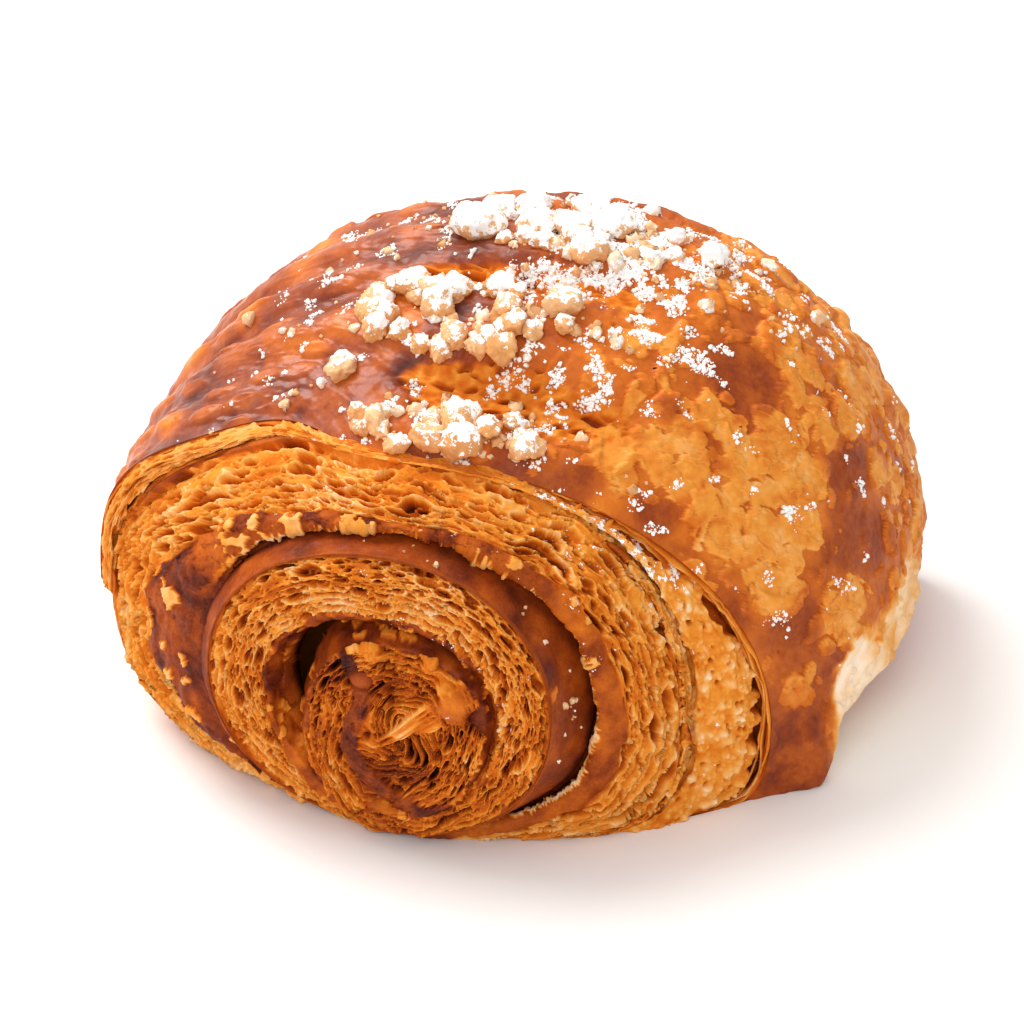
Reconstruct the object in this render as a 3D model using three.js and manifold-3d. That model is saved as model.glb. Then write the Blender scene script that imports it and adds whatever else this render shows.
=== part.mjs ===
// A pain au chocolat made as a roll: one sheet of buttery, layered dough wound up and baked until
// its crust is glossy and browned and the end of the roll has pushed out in steps, like a telescope.
// Three slashes cross the top, and crumble lies on the ridges between them.
//
// Millimetres, +Z up. X runs across the roll and Y along it, with the pushed-out end at -Y.
// The pastry stands on z = 0, with the middle of its box over the origin.

import * as THREE from 'three';
import Module from 'manifold-3d';
import { mergeVertices } from 'three/addons/utils/BufferGeometryUtils.js';

// ---- driving dimensions ------------------------------------------------------------------------

// The wound sheet is followed inwards from its loose end, by "wind": 0 at the loose end on the left,
// and 1 more for each turn. The lists hold one value for each quarter turn of the sheet's outer face,
// at the left, the top, the right and the bottom, and one row for each turn.
const REACH = [
  45.3, 34.0, 45.5, 16.5,
  43.3, 31.3, 35.5, 19.0,
  23.0, 20.4, 22.6, 20.0,
  9.8, 9.8, 11.6, 14.0,
];
const CENTRE_X = [
  -6, -6, -6, -6,
  -6, -6, -6, -6.2,
  -6.4, -6.5, -6.5, -5.5,
  -4.5, -4, -3.6, -3.5,
];
const CENTRE_Z = [
  18, 14, 10, 14,
  16, 17, 15, 18,
  20.5, 21.3, 21.3, 20.8,
  20.5, 20.3, 20, 20,
];
const SQUARENESS = [
  2.4, 2.2, 4.5, 2.6,
  2.2, 2.3, 3.6, 2.1,
  2.1, 2.1, 2.1, 2.1,
  2.0, 2.0, 2.0, 2.0,
];

// where the sheet's edge shows at the pushed-out end, and at the plainer far end
const FRONT_Y = [
  -20, -30, -23, -34.8,
  -21, -31, -30, -39.5,
  -42, -44, -44, -43,
  -45, -46, -46, -46,
];
const BACK_Y = [
  37.5, 39.5, 38.5, 36.5,
  39.5, 41.5, 41.5, 38.5,
  43, 44.5, 44.5, 42.5,
  45, 46, 46, 46,
];
const BACK_NARROWING = 0.92;
const BACK_SHIFT_X = 10.4;

// the two outer rims draw back over the left shoulder, each by its own amount
const HUMP = { share: 0.165, spread: 0.04, back: [6, 3.5] };
// the crust's front corner at the right tucks in where it meets the baking tray, and splays behind
const TOE = { wind: 0.545, spread: 0.03, out: -1.5, back: 1.5 };
const TOE_FLARE = { wind: 0.54, along: -0.76, spreadWind: 0.026, spreadAlong: 0.16, out: 4.5 };

// The cut face of a turn lies this deep behind its own outer skin. The rim of each turn stands this
// far proud of the cut face outside it, with a groove at the foot of its skin. The foot lies at a
// share of the way from the outer turn's rim to its own, so that the skin slopes where it is low.
const UNDERCUT = [
  1.2, 1.0, 3.2, 0.3,
  0.8, 0.8, 1.0, 0.2,
  0.6, 0.6, 0.6, 0.2,
  0.5, 0.5, 0.5, 0.5,
];
const STEP_OUT = [
  0, 0, 0, 0,
  0.8, 0.8, 0.8, 0.3,
  2.0, 3.6, 5.0, 0.8,
  3.2, 2.0, 1.0, 0.3,
];
const GROOVE = [
  0, 0, 0, 0,
  0.8, 0.8, 1.0, 0.2,
  0.3, 1.6, 1.8, 0.3,
  2.5, 0.5, 0.8, 0.2,
];
const FOOT = [
  1, 1, 1, 1,
  0.95, 0.95, 0.95, 0.95,
  0.92, 0.88, 0.75, 0.85,
  0.6, 0.85, 0.88, 0.85,
];
const UNDERCUT_AT = 0.08; // across the face, from its outer skin to the foot of the next turn
const UNDERCUT_WIDTH = 0.1;
const GROOVE_FROM = 0.86;
const SWELL = 1.6; // the face swells out over the top of the roll
const BACK_DEPTH_SHARE = 0.4;

// the crust at its fattest, between the two ends
const FAT_REACH = [59.4, 49.8, 43.2, 17.5, 57.7];
const FAT_SQUARENESS = [2.03, 2.03, 2.3, 2.9];
const FAT_X = 8;
const FAT_Z = 14.2;
const FAT_Y = 4.5;
const FULLNESS = 2;

// Slashes across the top: where along the roll (-1 front edge, 0 fattest, 1 back edge), from and to
// which wind, how deep and how wide along the roll, as a share of that half of it.
const SLASHES = [
  { along: -0.765, from: 0.215, to: 0.325, depth: 3.0, width: 0.085 },
  { along: -0.31, from: 0.185, to: 0.285, depth: 2.4, width: 0.07 },
  { along: 0.42, from: 0.2, to: 0.3, depth: 2.0, width: 0.07 },
];
const SLASH_LIP = { height: 0.35, away: 1.9 }; // as shares of the slash's depth and width
const SLASH_TAPER = 0.03;

// folds run round the left shoulder, slanting a little; "waves" is their number along half the roll
const SHOULDER_FOLDS = { from: 0.0, to: 0.2, swell: 1.1, depth: 0.9, waves: 3.3, start: 0.55, slant: 2.2 };
// and blisters cover the right flank
const FLANK_BLISTERS = { from: 0.33, to: 0.5, depth: 0.7, round: 62, lengthwise: 9.7, slant: 9 };
const SOFT = 0.05;
const EDGE_FADE = 8; // power that fades the relief out at the crust's two edges

// Crumble, in groups on the ridges: the middle of the group, how far it spreads, the number of
// lumps, and the smallest and largest lump's radius.
const CRUMBLE = [
  { wind: 0.252, along: -0.9, spreadWind: 0.05, spreadAlong: 0.075, count: 18, small: 1.4, large: 2.6 },
  { wind: 0.225, along: -0.52, spreadWind: 0.05, spreadAlong: 0.14, count: 26, small: 1.5, large: 3.0 },
  { wind: 0.25, along: 0.06, spreadWind: 0.055, spreadAlong: 0.22, count: 30, small: 1.5, large: 3.3 },
];
const BIG_LUMPS = [
  { wind: 0.272, along: -0.94, radius: 3.2 },
  { wind: 0.182, along: -0.785, radius: 2.4 },
  { wind: 0.193, along: -0.42, radius: 3.0 },
  { wind: 0.186, along: -0.56, radius: 2.9 },
  { wind: 0.203, along: -0.03, radius: 3.9 },
  { wind: 0.207, along: 0.17, radius: 2.6 },
];
const LUMP_FLATNESS = 0.8;
const LUMP_ROUGHNESS = 0.28;
const LUMP_SUNK = 0.25;

// fineness of the mesh
const COLUMNS = 56; // round one turn
const FACE_TURNS = 2.75; // of cut face, before the bud in the middle
const ACROSS = [0, 0.08, 0.3, 0.6, 0.86, 1]; // from a turn's outer skin to the foot of the next turn
const ROWS = 30; // from the front edge of the crust to its back edge
const BUD_RINGS = 4;
const BUD_SWELL = 0.8;
const BUD_CENTRE = { x: -4.5, z: 20 };
const BUD_BACK_SHARE = 0.1;
const LOOSE_END_FOOT = 0.95; // the same steps across the sheet's loose end
const NORMAL_STEP = 0.004;
const BASE_BLOCK = 300;

// ---- the shape as a formula ---------------------------------------------------------------------

// which quarter turn a wind falls in, and how far round it: 0 to 1, with 0.5 at its squarish corner
function quarterOf(wind) {
  const quarters = Math.min(Math.max(wind * 4, 0), REACH.length - 1);
  const first = Math.min(Math.floor(quarters), REACH.length - 2);
  const slope = Math.tan((quarters - first) * Math.PI / 2) * REACH[first] / REACH[first + 1];
  const turn = Math.atan(Math.max(slope, 0) ** (SQUARENESS[first] / 2));
  return { first, share: turn / (Math.PI / 2) };
}

// a quarter-turn list's value at any wind, with smooth steps between
function byQuarter(list, wind) {
  const { first, share } = quarterOf(wind);
  return list[first] + (list[first + 1] - list[first]) * share * share * (3 - 2 * share);
}

// distance from the roll's middle to the sheet, as quarters of squarish ellipses
function reachAt(reach, squareness, wind) {
  const quarters = Math.min(Math.max(wind * 4, 0), reach.length - 1);
  const first = Math.min(Math.floor(quarters), reach.length - 2);
  const turn = (quarters - first) * Math.PI / 2;
  const power = squareness[Math.min(first, squareness.length - 1)];
  const level = (Math.abs(Math.cos(turn)) / reach[first]) ** power;
  const upright = (Math.abs(Math.sin(turn)) / reach[first + 1]) ** power;
  return (level + upright) ** (-1 / power);
}

function bearing(wind) {
  return Math.PI - 2 * Math.PI * wind;
}

// the sheet's outer edge where it shows at one end of the roll
function rim(wind, end) {
  const reach = reachAt(REACH, SQUARENESS, wind);
  const x = byQuarter(CENTRE_X, wind) + reach * Math.cos(bearing(wind));
  const z = byQuarter(CENTRE_Z, wind) + reach * Math.sin(bearing(wind));
  if (end === 'front') {
    const toe = Math.exp(-(((wind - TOE.wind) / TOE.spread) ** 2));
    let y = byQuarter(FRONT_Y, wind) + TOE.back * toe;
    HUMP.back.forEach((back, turn) => {
      y += back * Math.exp(-(((wind - turn - HUMP.share) / HUMP.spread) ** 2));
    });
    return new THREE.Vector3(x + TOE.out * toe, y, z);
  }
  return new THREE.Vector3(x * BACK_NARROWING + BACK_SHIFT_X, byQuarter(BACK_Y, wind), z);
}

// the smooth crust, before its slashes and blisters
function smoothCrust(wind, along) {
  const end = along < 0 ? 'front' : 'back';
  const edge = rim(wind, end);
  const reach = reachAt(FAT_REACH, FAT_SQUARENESS, wind);
  const fat = new THREE.Vector3(
    FAT_X + reach * Math.cos(bearing(wind)),
    FAT_Y,
    FAT_Z + reach * Math.sin(bearing(wind)),
  );
  const share = Math.abs(along);
  const point = edge.clone().lerp(fat, 1 - share ** FULLNESS);
  point.y = FAT_Y + share * (edge.y - FAT_Y);
  return point;
}

// 1 between two winds, falling smoothly to 0 past them
function between(value, from, to, soft) {
  const rise = THREE.MathUtils.smoothstep(value, from - soft, from + soft);
  const fall = THREE.MathUtils.smoothstep(value, to - soft, to + soft);
  return rise * (1 - fall);
}

// height of the crust over its smooth form
function crustRelief(wind, along) {
  let height = 0;
  for (const slash of SLASHES) {
    const off = (along - slash.along) / slash.width;
    const valley = Math.exp(-off * off);
    const lips = SLASH_LIP.height * Math.exp(-((Math.abs(off) - SLASH_LIP.away) ** 2));
    height += slash.depth * (lips - valley) * between(wind, slash.from, slash.to, SLASH_TAPER);
  }
  const fold = SHOULDER_FOLDS;
  const wave = Math.cos(2 * Math.PI * (fold.waves * along + fold.start + fold.slant * wind));
  const folds = (fold.swell + fold.depth * wave) * (1 - along * along);
  height += folds * between(wind, fold.from, fold.to, SOFT);
  const flank = FLANK_BLISTERS;
  const bubbles = Math.sin(flank.round * wind) * Math.cos(flank.lengthwise * along + flank.slant * wind);
  height += flank.depth * bubbles * between(wind, flank.from, flank.to, SOFT);
  const flareRound = (wind - TOE_FLARE.wind) / TOE_FLARE.spreadWind;
  const flareAlong = (along - TOE_FLARE.along) / TOE_FLARE.spreadAlong;
  height += TOE_FLARE.out * Math.exp(-(flareRound ** 2) - flareAlong ** 2);
  return height * (1 - Math.abs(along) ** EDGE_FADE);
}

// which way the smooth crust faces
function crustNormal(wind, along) {
  const round = smoothCrust(wind + NORMAL_STEP, along).sub(smoothCrust(wind - NORMAL_STEP, along));
  const side = Math.min(along + NORMAL_STEP, 1);
  const lengthwise = smoothCrust(wind, side).sub(smoothCrust(wind, side - 2 * NORMAL_STEP));
  return lengthwise.cross(round).normalize();
}

function crust(wind, along) {
  const relief = crustRelief(wind, along);
  return smoothCrust(wind, along).addScaledVector(crustNormal(wind, along), relief);
}

// The cut face of one turn, from the sheet's outer skin (across = 0) to the foot of the turn inside
// it (across = 1): undercut behind the skin, swelling out, then sinking into the groove.
function cutFace(wind, across, end) {
  const outer = rim(wind, end);
  const inner = rim(wind + 1, end);
  const point = outer.clone().lerp(inner, across * byQuarter(FOOT, wind + 1));
  const undercut = byQuarter(UNDERCUT, wind) * Math.exp(-(((across - UNDERCUT_AT) / UNDERCUT_WIDTH) ** 2));
  const step = byQuarter(STEP_OUT, wind + 1) * across;
  const groove = byQuarter(GROOVE, wind + 1) * THREE.MathUtils.smoothstep(across, GROOVE_FROM, 1);
  const overTop = (1 + Math.sin(bearing(wind))) / 2;
  const swell = SWELL * Math.sin(Math.PI * across) * overTop;
  const depth = undercut + step + groove - swell;
  const level = outer.y + (inner.y - outer.y) * across;
  point.y = level + (end === 'front' ? depth : -depth * BACK_DEPTH_SHARE);
  return point;
}

// ---- the dough as one closed mesh -----------------------------------------------------------------

const positions = [];
const triangles = [];

function addPoint(point) {
  positions.push(point.x, point.y, point.z);
  return positions.length / 3 - 1;
}

// two triangles, with a and b along one side and c and d facing them
function addQuad(a, b, c, d, flip) {
  if (flip) {
    triangles.push(a, c, b, b, c, d);
  } else {
    triangles.push(a, b, c, b, d, c);
  }
}

// the spiral of cut face at one end, with its bud; returns the loop of points round the outside
function addEnd(end) {
  const flip = end === 'front';
  const faceColumns = COLUMNS * FACE_TURNS;
  const rims = [];
  for (let column = 0; column <= faceColumns + COLUMNS; column += 1) {
    rims.push(addPoint(rim(column / COLUMNS, end)));
  }
  const face = [];
  for (let column = 0; column <= faceColumns; column += 1) {
    const line = [rims[column]];
    for (const across of ACROSS.slice(1)) {
      line.push(addPoint(cutFace(column / COLUMNS, across, end)));
    }
    line.push(rims[column + COLUMNS]);
    face.push(line);
  }
  for (let column = 0; column < faceColumns; column += 1) {
    for (let step = 0; step < ACROSS.length; step += 1) {
      const here = face[column];
      const next = face[column + 1];
      addQuad(here[step], next[step], here[step + 1], next[step + 1], flip);
    }
  }
  const budLoop = [...rims.slice(faceColumns), ...face[faceColumns].slice(1, -1).reverse()];
  addBud(budLoop, end, flip);
  return [...rims.slice(0, COLUMNS + 1), ...face[0].slice(1, -1).reverse()];
}

// the coiled middle of the roll: rings that close on a point
function addBud(loop, end, flip) {
  const swell = end === 'front' ? BUD_SWELL : -BUD_SWELL * BUD_BACK_SHARE;
  const edgePoints = loop.map((index) => new THREE.Vector3().fromArray(positions, index * 3));
  const middle = new THREE.Vector3(BUD_CENTRE.x, 0, BUD_CENTRE.z);
  if (end === 'back') {
    middle.x = middle.x * BACK_NARROWING + BACK_SHIFT_X;
  }
  middle.y = edgePoints[0].y + swell;
  let outer = loop;
  for (let ring = 1; ring < BUD_RINGS; ring += 1) {
    const share = ring / BUD_RINGS;
    const inner = edgePoints.map((point) => {
      const place = point.clone().lerp(middle, share);
      place.y -= swell * Math.sin(Math.PI * share);
      return addPoint(place);
    });
    for (let k = 0; k < loop.length; k += 1) {
      const next = (k + 1) % loop.length;
      addQuad(outer[k], outer[next], inner[k], inner[next], flip);
    }
    outer = inner;
  }
  const tip = addPoint(middle);
  for (let k = 0; k < loop.length; k += 1) {
    const next = (k + 1) % loop.length;
    triangles.push(...(flip ? [outer[k], tip, outer[next]] : [outer[k], outer[next], tip]));
  }
}

// the crust between the two ends, and the loose end of the sheet along the left side
function addCrust(frontLoop, backLoop) {
  let before = frontLoop;
  for (let row = 1; row <= ROWS; row += 1) {
    let here = backLoop;
    if (row < ROWS) {
      const along = -1 + (2 * row) / ROWS;
      here = [];
      for (let column = 0; column <= COLUMNS; column += 1) {
        here.push(addPoint(crust(column / COLUMNS, along)));
      }
      for (const across of ACROSS.slice(1).reverse()) {
        here.push(addPoint(crust(0, along).lerp(crust(1, along), across * LOOSE_END_FOOT)));
      }
    }
    for (let k = 0; k < here.length; k += 1) {
      const next = (k + 1) % here.length;
      addQuad(before[k], here[k], before[next], here[next], true);
    }
    before = here;
  }
}

addCrust(addEnd('front'), addEnd('back'));

// ---- solids ---------------------------------------------------------------------------------------

const wasm = await Module();
wasm.setup();

function toSolid(geometry) {
  const bare = geometry.clone();
  bare.deleteAttribute('normal');
  bare.deleteAttribute('uv');
  const merged = mergeVertices(bare, 1e-4);
  return new wasm.Manifold(new wasm.Mesh({
    numProp: 3,
    vertProperties: new Float32Array(merged.attributes.position.array),
    triVerts: new Uint32Array(merged.index.array),
  }));
}

function toGeometry(solid) {
  const mesh = solid.getMesh();
  const geometry = new THREE.BufferGeometry();
  geometry.setAttribute('position', new THREE.BufferAttribute(mesh.vertProperties, 3));
  geometry.setIndex(new THREE.BufferAttribute(mesh.triVerts, 1));
  geometry.computeVertexNormals();
  return geometry;
}

// an even scatter of numbers from 0 to 1, the same on every run
function chance(seed) {
  const wave = Math.sin(seed * 12.9898 + 4.1414) * 43758.5453;
  return wave - Math.floor(wave);
}

// every lump of crumble: where it lies on the crust and how big it is
function crumbleLumps() {
  const lumps = BIG_LUMPS.map((lump) => ({ ...lump }));
  let seed = 1;
  for (const group of CRUMBLE) {
    for (let k = 0; k < group.count; k += 1) {
      const turn = 2 * Math.PI * chance(seed);
      const out = Math.sqrt(chance(seed + 1));
      lumps.push({
        wind: group.wind + group.spreadWind * out * Math.cos(turn),
        along: Math.max(group.along + group.spreadAlong * out * Math.sin(turn), -0.99),
        radius: group.small + (group.large - group.small) * chance(seed + 2) ** 2,
      });
      seed += 3;
    }
  }
  return lumps;
}

// one lump: a rough pebble, a little flattened, sunk into the crust
function lumpSolid(lump, number) {
  const geometry = new THREE.OctahedronGeometry(1, 1);
  const corners = geometry.attributes.position;
  const corner = new THREE.Vector3();
  for (let k = 0; k < corners.count; k += 1) {
    corner.fromBufferAttribute(corners, k);
    const key = Math.round(corner.x * 7) + 13 * Math.round(corner.y * 7) + 29 * Math.round(corner.z * 7);
    corner.multiplyScalar(1 + LUMP_ROUGHNESS * (chance(key + 97 * number) - 0.5) * 2);
    corners.setXYZ(k, corner.x, corner.y, corner.z * LUMP_FLATNESS);
  }
  geometry.rotateZ(2 * Math.PI * chance(number + 0.5));
  geometry.scale(lump.radius, lump.radius, lump.radius);
  const up = crustNormal(lump.wind, lump.along);
  const turned = new THREE.Quaternion().setFromUnitVectors(new THREE.Vector3(0, 0, 1), up);
  const rise = lump.radius * (LUMP_FLATNESS - 2 * LUMP_SUNK);
  const place = crust(lump.wind, lump.along).addScaledVector(up, rise);
  geometry.applyQuaternion(turned);
  geometry.translate(place.x, place.y, place.z);
  return toSolid(geometry);
}

function doughSolid() {
  const geometry = new THREE.BufferGeometry();
  geometry.setAttribute('position', new THREE.Float32BufferAttribute(positions, 3));
  geometry.setIndex(triangles);
  return toSolid(geometry);
}

// the flat face that it was baked on
function cutFlatBelow(solid) {
  const block = new THREE.BoxGeometry(BASE_BLOCK, BASE_BLOCK, BASE_BLOCK);
  block.translate(0, 0, -BASE_BLOCK / 2);
  return solid.subtract(toSolid(block));
}

let pastrySolid = cutFlatBelow(doughSolid());
crumbleLumps().forEach((lump, number) => {
  pastrySolid = pastrySolid.add(lumpSolid(lump, number));
});

const bakedCrust = new THREE.MeshStandardMaterial({ color: 0xa85a26, roughness: 0.45, metalness: 0 });
const pastry = new THREE.Mesh(toGeometry(pastrySolid), bakedCrust);
pastry.name = 'pastry';

const model = new THREE.Group();
model.add(pastry);

export default model;
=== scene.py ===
import itertools
import math

import bmesh
import bpy
import numpy as np
from mathutils import Matrix, Vector


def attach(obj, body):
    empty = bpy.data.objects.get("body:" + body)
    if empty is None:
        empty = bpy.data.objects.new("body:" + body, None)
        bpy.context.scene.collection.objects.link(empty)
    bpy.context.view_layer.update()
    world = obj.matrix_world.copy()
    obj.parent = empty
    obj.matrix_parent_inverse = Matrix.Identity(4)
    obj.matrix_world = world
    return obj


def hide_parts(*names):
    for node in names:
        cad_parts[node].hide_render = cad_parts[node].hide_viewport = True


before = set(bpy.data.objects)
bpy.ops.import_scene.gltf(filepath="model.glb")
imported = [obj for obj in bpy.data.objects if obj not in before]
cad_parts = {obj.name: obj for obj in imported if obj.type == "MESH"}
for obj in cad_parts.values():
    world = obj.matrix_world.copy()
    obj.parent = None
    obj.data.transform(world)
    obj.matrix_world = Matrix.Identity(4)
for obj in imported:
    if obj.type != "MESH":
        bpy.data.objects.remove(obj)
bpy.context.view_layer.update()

# ---- the crust -----------------------------------------------------------------------------------
# The outside of the roll: the last turn of the sheet of dough, brushed with egg and baked until
# it is glossy and mottled. It domes over the middle, splits along three slashes and ends in a lip
# round the cut end. Millimetres throughout, made metres when a mesh is built.

MM = 0.001

# The sheet is followed inwards by "wind": 0 at its loose end on the left, and 1 more for each turn.
# A row of each list is one turn, with values at the left, the top, the right and the bottom.
REACH = np.array([
    45.3, 34.0, 45.5, 16.5,
    43.3, 31.3, 35.5, 19.0,
    23.0, 20.4, 22.6, 20.0,
    9.8, 9.8, 11.6, 14.0,
])
CENTRE_X = np.array([
    -6, -6, -6, -6,
    -6, -6, -6, -6.2,
    -6.4, -6.5, -6.5, -5.5,
    -4.5, -4, -3.6, -3.5,
])
CENTRE_Z = np.array([
    18, 14, 10, 14,
    16, 17, 15, 18,
    20.5, 21.3, 21.3, 20.8,
    20.5, 20.3, 20, 20,
])
SQUARENESS = np.array([
    2.4, 2.2, 4.5, 2.6,
    2.2, 2.3, 3.6, 2.1,
    2.1, 2.1, 2.1, 2.1,
    2.0, 2.0, 2.0, 2.0,
])
FRONT_Y = np.array([
    -20, -30, -23, -34.8,
    -21, -31, -30, -39.5,
    -42, -44, -44, -43,
    -45, -46, -46, -46,
])
BACK_Y = np.array([
    37.5, 39.5, 38.5, 36.5,
    39.5, 41.5, 41.5, 38.5,
    43, 44.5, 44.5, 42.5,
    45, 46, 46, 46,
])
BACK_NARROWING = 0.92
BACK_SHIFT_X = 10.4
HUMP_SHARE, HUMP_SPREAD, HUMP_BACK = 0.165, 0.04, (6, 3.5)
TOE_WIND, TOE_SPREAD, TOE_OUT, TOE_BACK = 0.545, 0.03, -1.5, 1.5
FLARE_WIND, FLARE_ALONG, FLARE_OUT = 0.54, -0.76, 4.5
FLARE_WIND_SPREAD, FLARE_ALONG_SPREAD = 0.026, 0.16

# the fattest ring of the crust, between its two ends
FAT_REACH = np.array([59.4, 49.8, 43.2, 17.5, 57.7])
FAT_SQUARENESS = np.array([2.03, 2.03, 2.3, 2.9])
FAT_X, FAT_Y, FAT_Z = 8, 4.5, 14.2
SOFT = 0.05


def smooth_step(value, low, high):
    share = np.clip((value - low) / (high - low), 0, 1)
    return share * share * (3 - 2 * share)


def fading(value, low, high):
    return 1 - smooth_step(value, low, high)


def between(value, low, high, soft):
    """1 from low to high and 0 outside, with soft ends."""
    return smooth_step(value, low - soft, low + soft) * fading(value, high - soft, high + soft)


def hump(value, middle, width):
    """1 in the middle, falling softly to 0 on both sides."""
    return np.exp(-(((value - middle) / width) ** 2))


def mix(first, second, share):
    return first + (second - first) * share


def quarter_of(wind, last):
    quarters = np.clip(np.asarray(wind, float) * 4, 0, last)
    first = np.minimum(quarters.astype(int), last - 1)
    return first, quarters - first


def by_quarter(values, wind):
    """At each wind, the value of a list that has four to a turn."""
    values = np.asarray(values, float)
    first, part = quarter_of(wind, len(REACH) - 1)
    slope = np.tan(part * np.pi / 2) * REACH[first] / REACH[first + 1]
    share = np.arctan(np.maximum(slope, 0) ** (SQUARENESS[first] / 2)) / (np.pi / 2)
    return mix(values[first], values[first + 1], share * share * (3 - 2 * share))


def reach_at(reach, squareness, wind):
    """How far a turn reaches from its centre, as round or as boxy as its squareness says."""
    first, part = quarter_of(wind, len(reach) - 1)
    turn = part * np.pi / 2
    power = squareness[np.minimum(first, len(squareness) - 1)]
    level = (np.abs(np.cos(turn)) / reach[first]) ** power
    upright = (np.abs(np.sin(turn)) / reach[first + 1]) ** power
    return (level + upright) ** (-1 / power)


def bearing(wind):
    """The angle at each wind, from the left over the top."""
    return np.pi - 2 * np.pi * np.asarray(wind, float)


def points_at(x, y, z):
    return np.stack(np.broadcast_arrays(x, y, z), -1).astype(float)


def rim(wind, back=False):
    """The sheet's outer edge where it shows at one end of the roll."""
    reach = reach_at(REACH, SQUARENESS, wind)
    x = by_quarter(CENTRE_X, wind) + reach * np.cos(bearing(wind))
    z = by_quarter(CENTRE_Z, wind) + reach * np.sin(bearing(wind))
    if back:
        return points_at(x * BACK_NARROWING + BACK_SHIFT_X, by_quarter(BACK_Y, wind), z)
    toe = hump(wind, TOE_WIND, TOE_SPREAD)
    y = by_quarter(FRONT_Y, wind) + TOE_BACK * toe
    for turn, draw_back in enumerate(HUMP_BACK):
        y = y + draw_back * hump(wind - turn, HUMP_SHARE, HUMP_SPREAD)
    return points_at(x + TOE_OUT * toe, y, z)


def smooth_crust(wind, along):
    """The crust's plain form; along is -1 at the front edge, 0 at the fattest and 1 at the back."""
    wind, along = np.broadcast_arrays(wind, along)
    edge = np.where((along < 0)[..., None], rim(wind), rim(wind, back=True))
    reach = reach_at(FAT_REACH, FAT_SQUARENESS, wind)
    fat = points_at(
        FAT_X + reach * np.cos(bearing(wind)), FAT_Y, FAT_Z + reach * np.sin(bearing(wind))
    )
    share = np.abs(along)
    point = mix(edge, fat, (1 - share**2)[..., None])
    point[..., 1] = FAT_Y + share * (edge[..., 1] - FAT_Y)
    return point


def chance(seed, *cell):
    """An even 0 to 1 for each whole-numbered cell, the same on every run."""
    mixed = np.full(np.broadcast_shapes(*(np.shape(c) for c in cell)), seed * 7919 + 17, np.int64)
    for part, prime in zip(cell, (374761393, 668265263, 2246822519)):
        mixed = ((mixed ^ (np.asarray(part, np.int64) * prime)) * 1274126177) & 0xFFFFFFFF
        mixed ^= mixed >> 15
    return ((mixed * 2654435761 & 0xFFFFFFFF) >> 8) / 0xFFFFFF


def clouds(seed, size, *axes):
    """Soft, even lumps of about the given size, from -1 to 1."""
    places = [np.asarray(axis, float) / size for axis in axes]
    low = [np.floor(place).astype(np.int64) for place in places]
    part = [place - cell for place, cell in zip(places, low)]
    fade = [p * p * (3 - 2 * p) for p in part]
    total = 0
    for corner in itertools.product((0, 1), repeat=len(axes)):
        weight = 1
        for step, share in zip(corner, fade):
            weight = weight * (share if step else 1 - share)
        total = total + weight * chance(seed, *(cell + step for cell, step in zip(low, corner)))
    return total * 2 - 1


def rough(seed, size, octaves, *axes):
    """Clouds of halving size and halving weight."""
    return sum(clouds(seed + k, size / 2**k, *axes) / 2**k for k in range(octaves))


def bubbles(seed, *axes, jitter=0.85):
    """For unit cells with a middle each: how near the middle is, how far the wall is, its chance."""
    low = [np.floor(axis).astype(np.int64) for axis in axes]
    shape = np.broadcast_shapes(*(axis.shape for axis in axes))
    nearest, second, own = np.full(shape, 9.0), np.full(shape, 9.0), np.zeros(shape)
    for offset in itertools.product((-1, 0, 1), repeat=len(axes)):
        cell = [part + step for part, step in zip(low, offset)]
        away = 0
        for k, (axis, part) in enumerate(zip(axes, cell)):
            away = away + (axis - part - 0.5 - jitter * (chance(seed + k, *cell) - 0.5)) ** 2
        away = np.sqrt(away)
        closer = away < nearest
        second = np.where(closer, nearest, np.minimum(second, away))
        own = np.where(closer, chance(seed + 5, *cell), own)
        nearest = np.minimum(nearest, away)
    return nearest, second - nearest, own


def outward(grid, middle):
    """Which way each point of a closed grid faces; the second axis runs round."""
    lengthwise = np.gradient(grid, axis=0)
    crosswise = np.roll(grid, -1, 1) - np.roll(grid, 1, 1)
    normal = np.cross(lengthwise, crosswise)
    normal /= np.linalg.norm(normal, axis=-1, keepdims=True) + 1e-12
    if (normal * (grid - middle)).sum() < 0:
        normal = -normal
    return normal


BASE_ROUNDING = 0.3


def tube_mesh(name, rings, **marks):
    """A closed mesh from rings of points, each end closed on a point in its middle."""
    length, count = rings.shape[:2]
    middles = mix(rings[[0, -1]].mean(1), rings[[0, -1], 0], 0.5)
    points = np.concatenate([rings.reshape(-1, 3), middles])
    index = np.arange(length * count).reshape(length, count)
    turned = np.roll(index, -1, 1)
    quads = np.stack([index[:-1], turned[:-1], turned[1:], index[1:]], -1).reshape(-1, 4)
    first = np.stack([turned[0], index[0], np.full(count, length * count)], -1)
    last = np.stack([index[-1], turned[-1], np.full(count, length * count + 1)], -1)
    corners = points[quads]
    area = np.cross(corners[:, 2] - corners[:, 0], corners[:, 3] - corners[:, 1])
    if (area * (corners.mean(1) - points.mean(0))).sum() < 0:
        quads, first, last = quads[:, ::-1], first[:, ::-1], last[:, ::-1]
    mesh = bpy.data.meshes.new(name)
    mesh.from_pydata((points * MM).tolist(), [], quads.tolist() + first.tolist() + last.tolist())
    mesh.polygons.foreach_set("use_smooth", np.ones(len(mesh.polygons), bool))
    for mark, values in marks.items():
        values = np.broadcast_to(values, (length, count))
        values = np.concatenate([values.ravel(), [values[0].mean(), values[-1].mean()]])
        mesh.attributes.new(mark, "FLOAT", "POINT").data.foreach_set("value", values.astype(np.float32))
    return mesh


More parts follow.
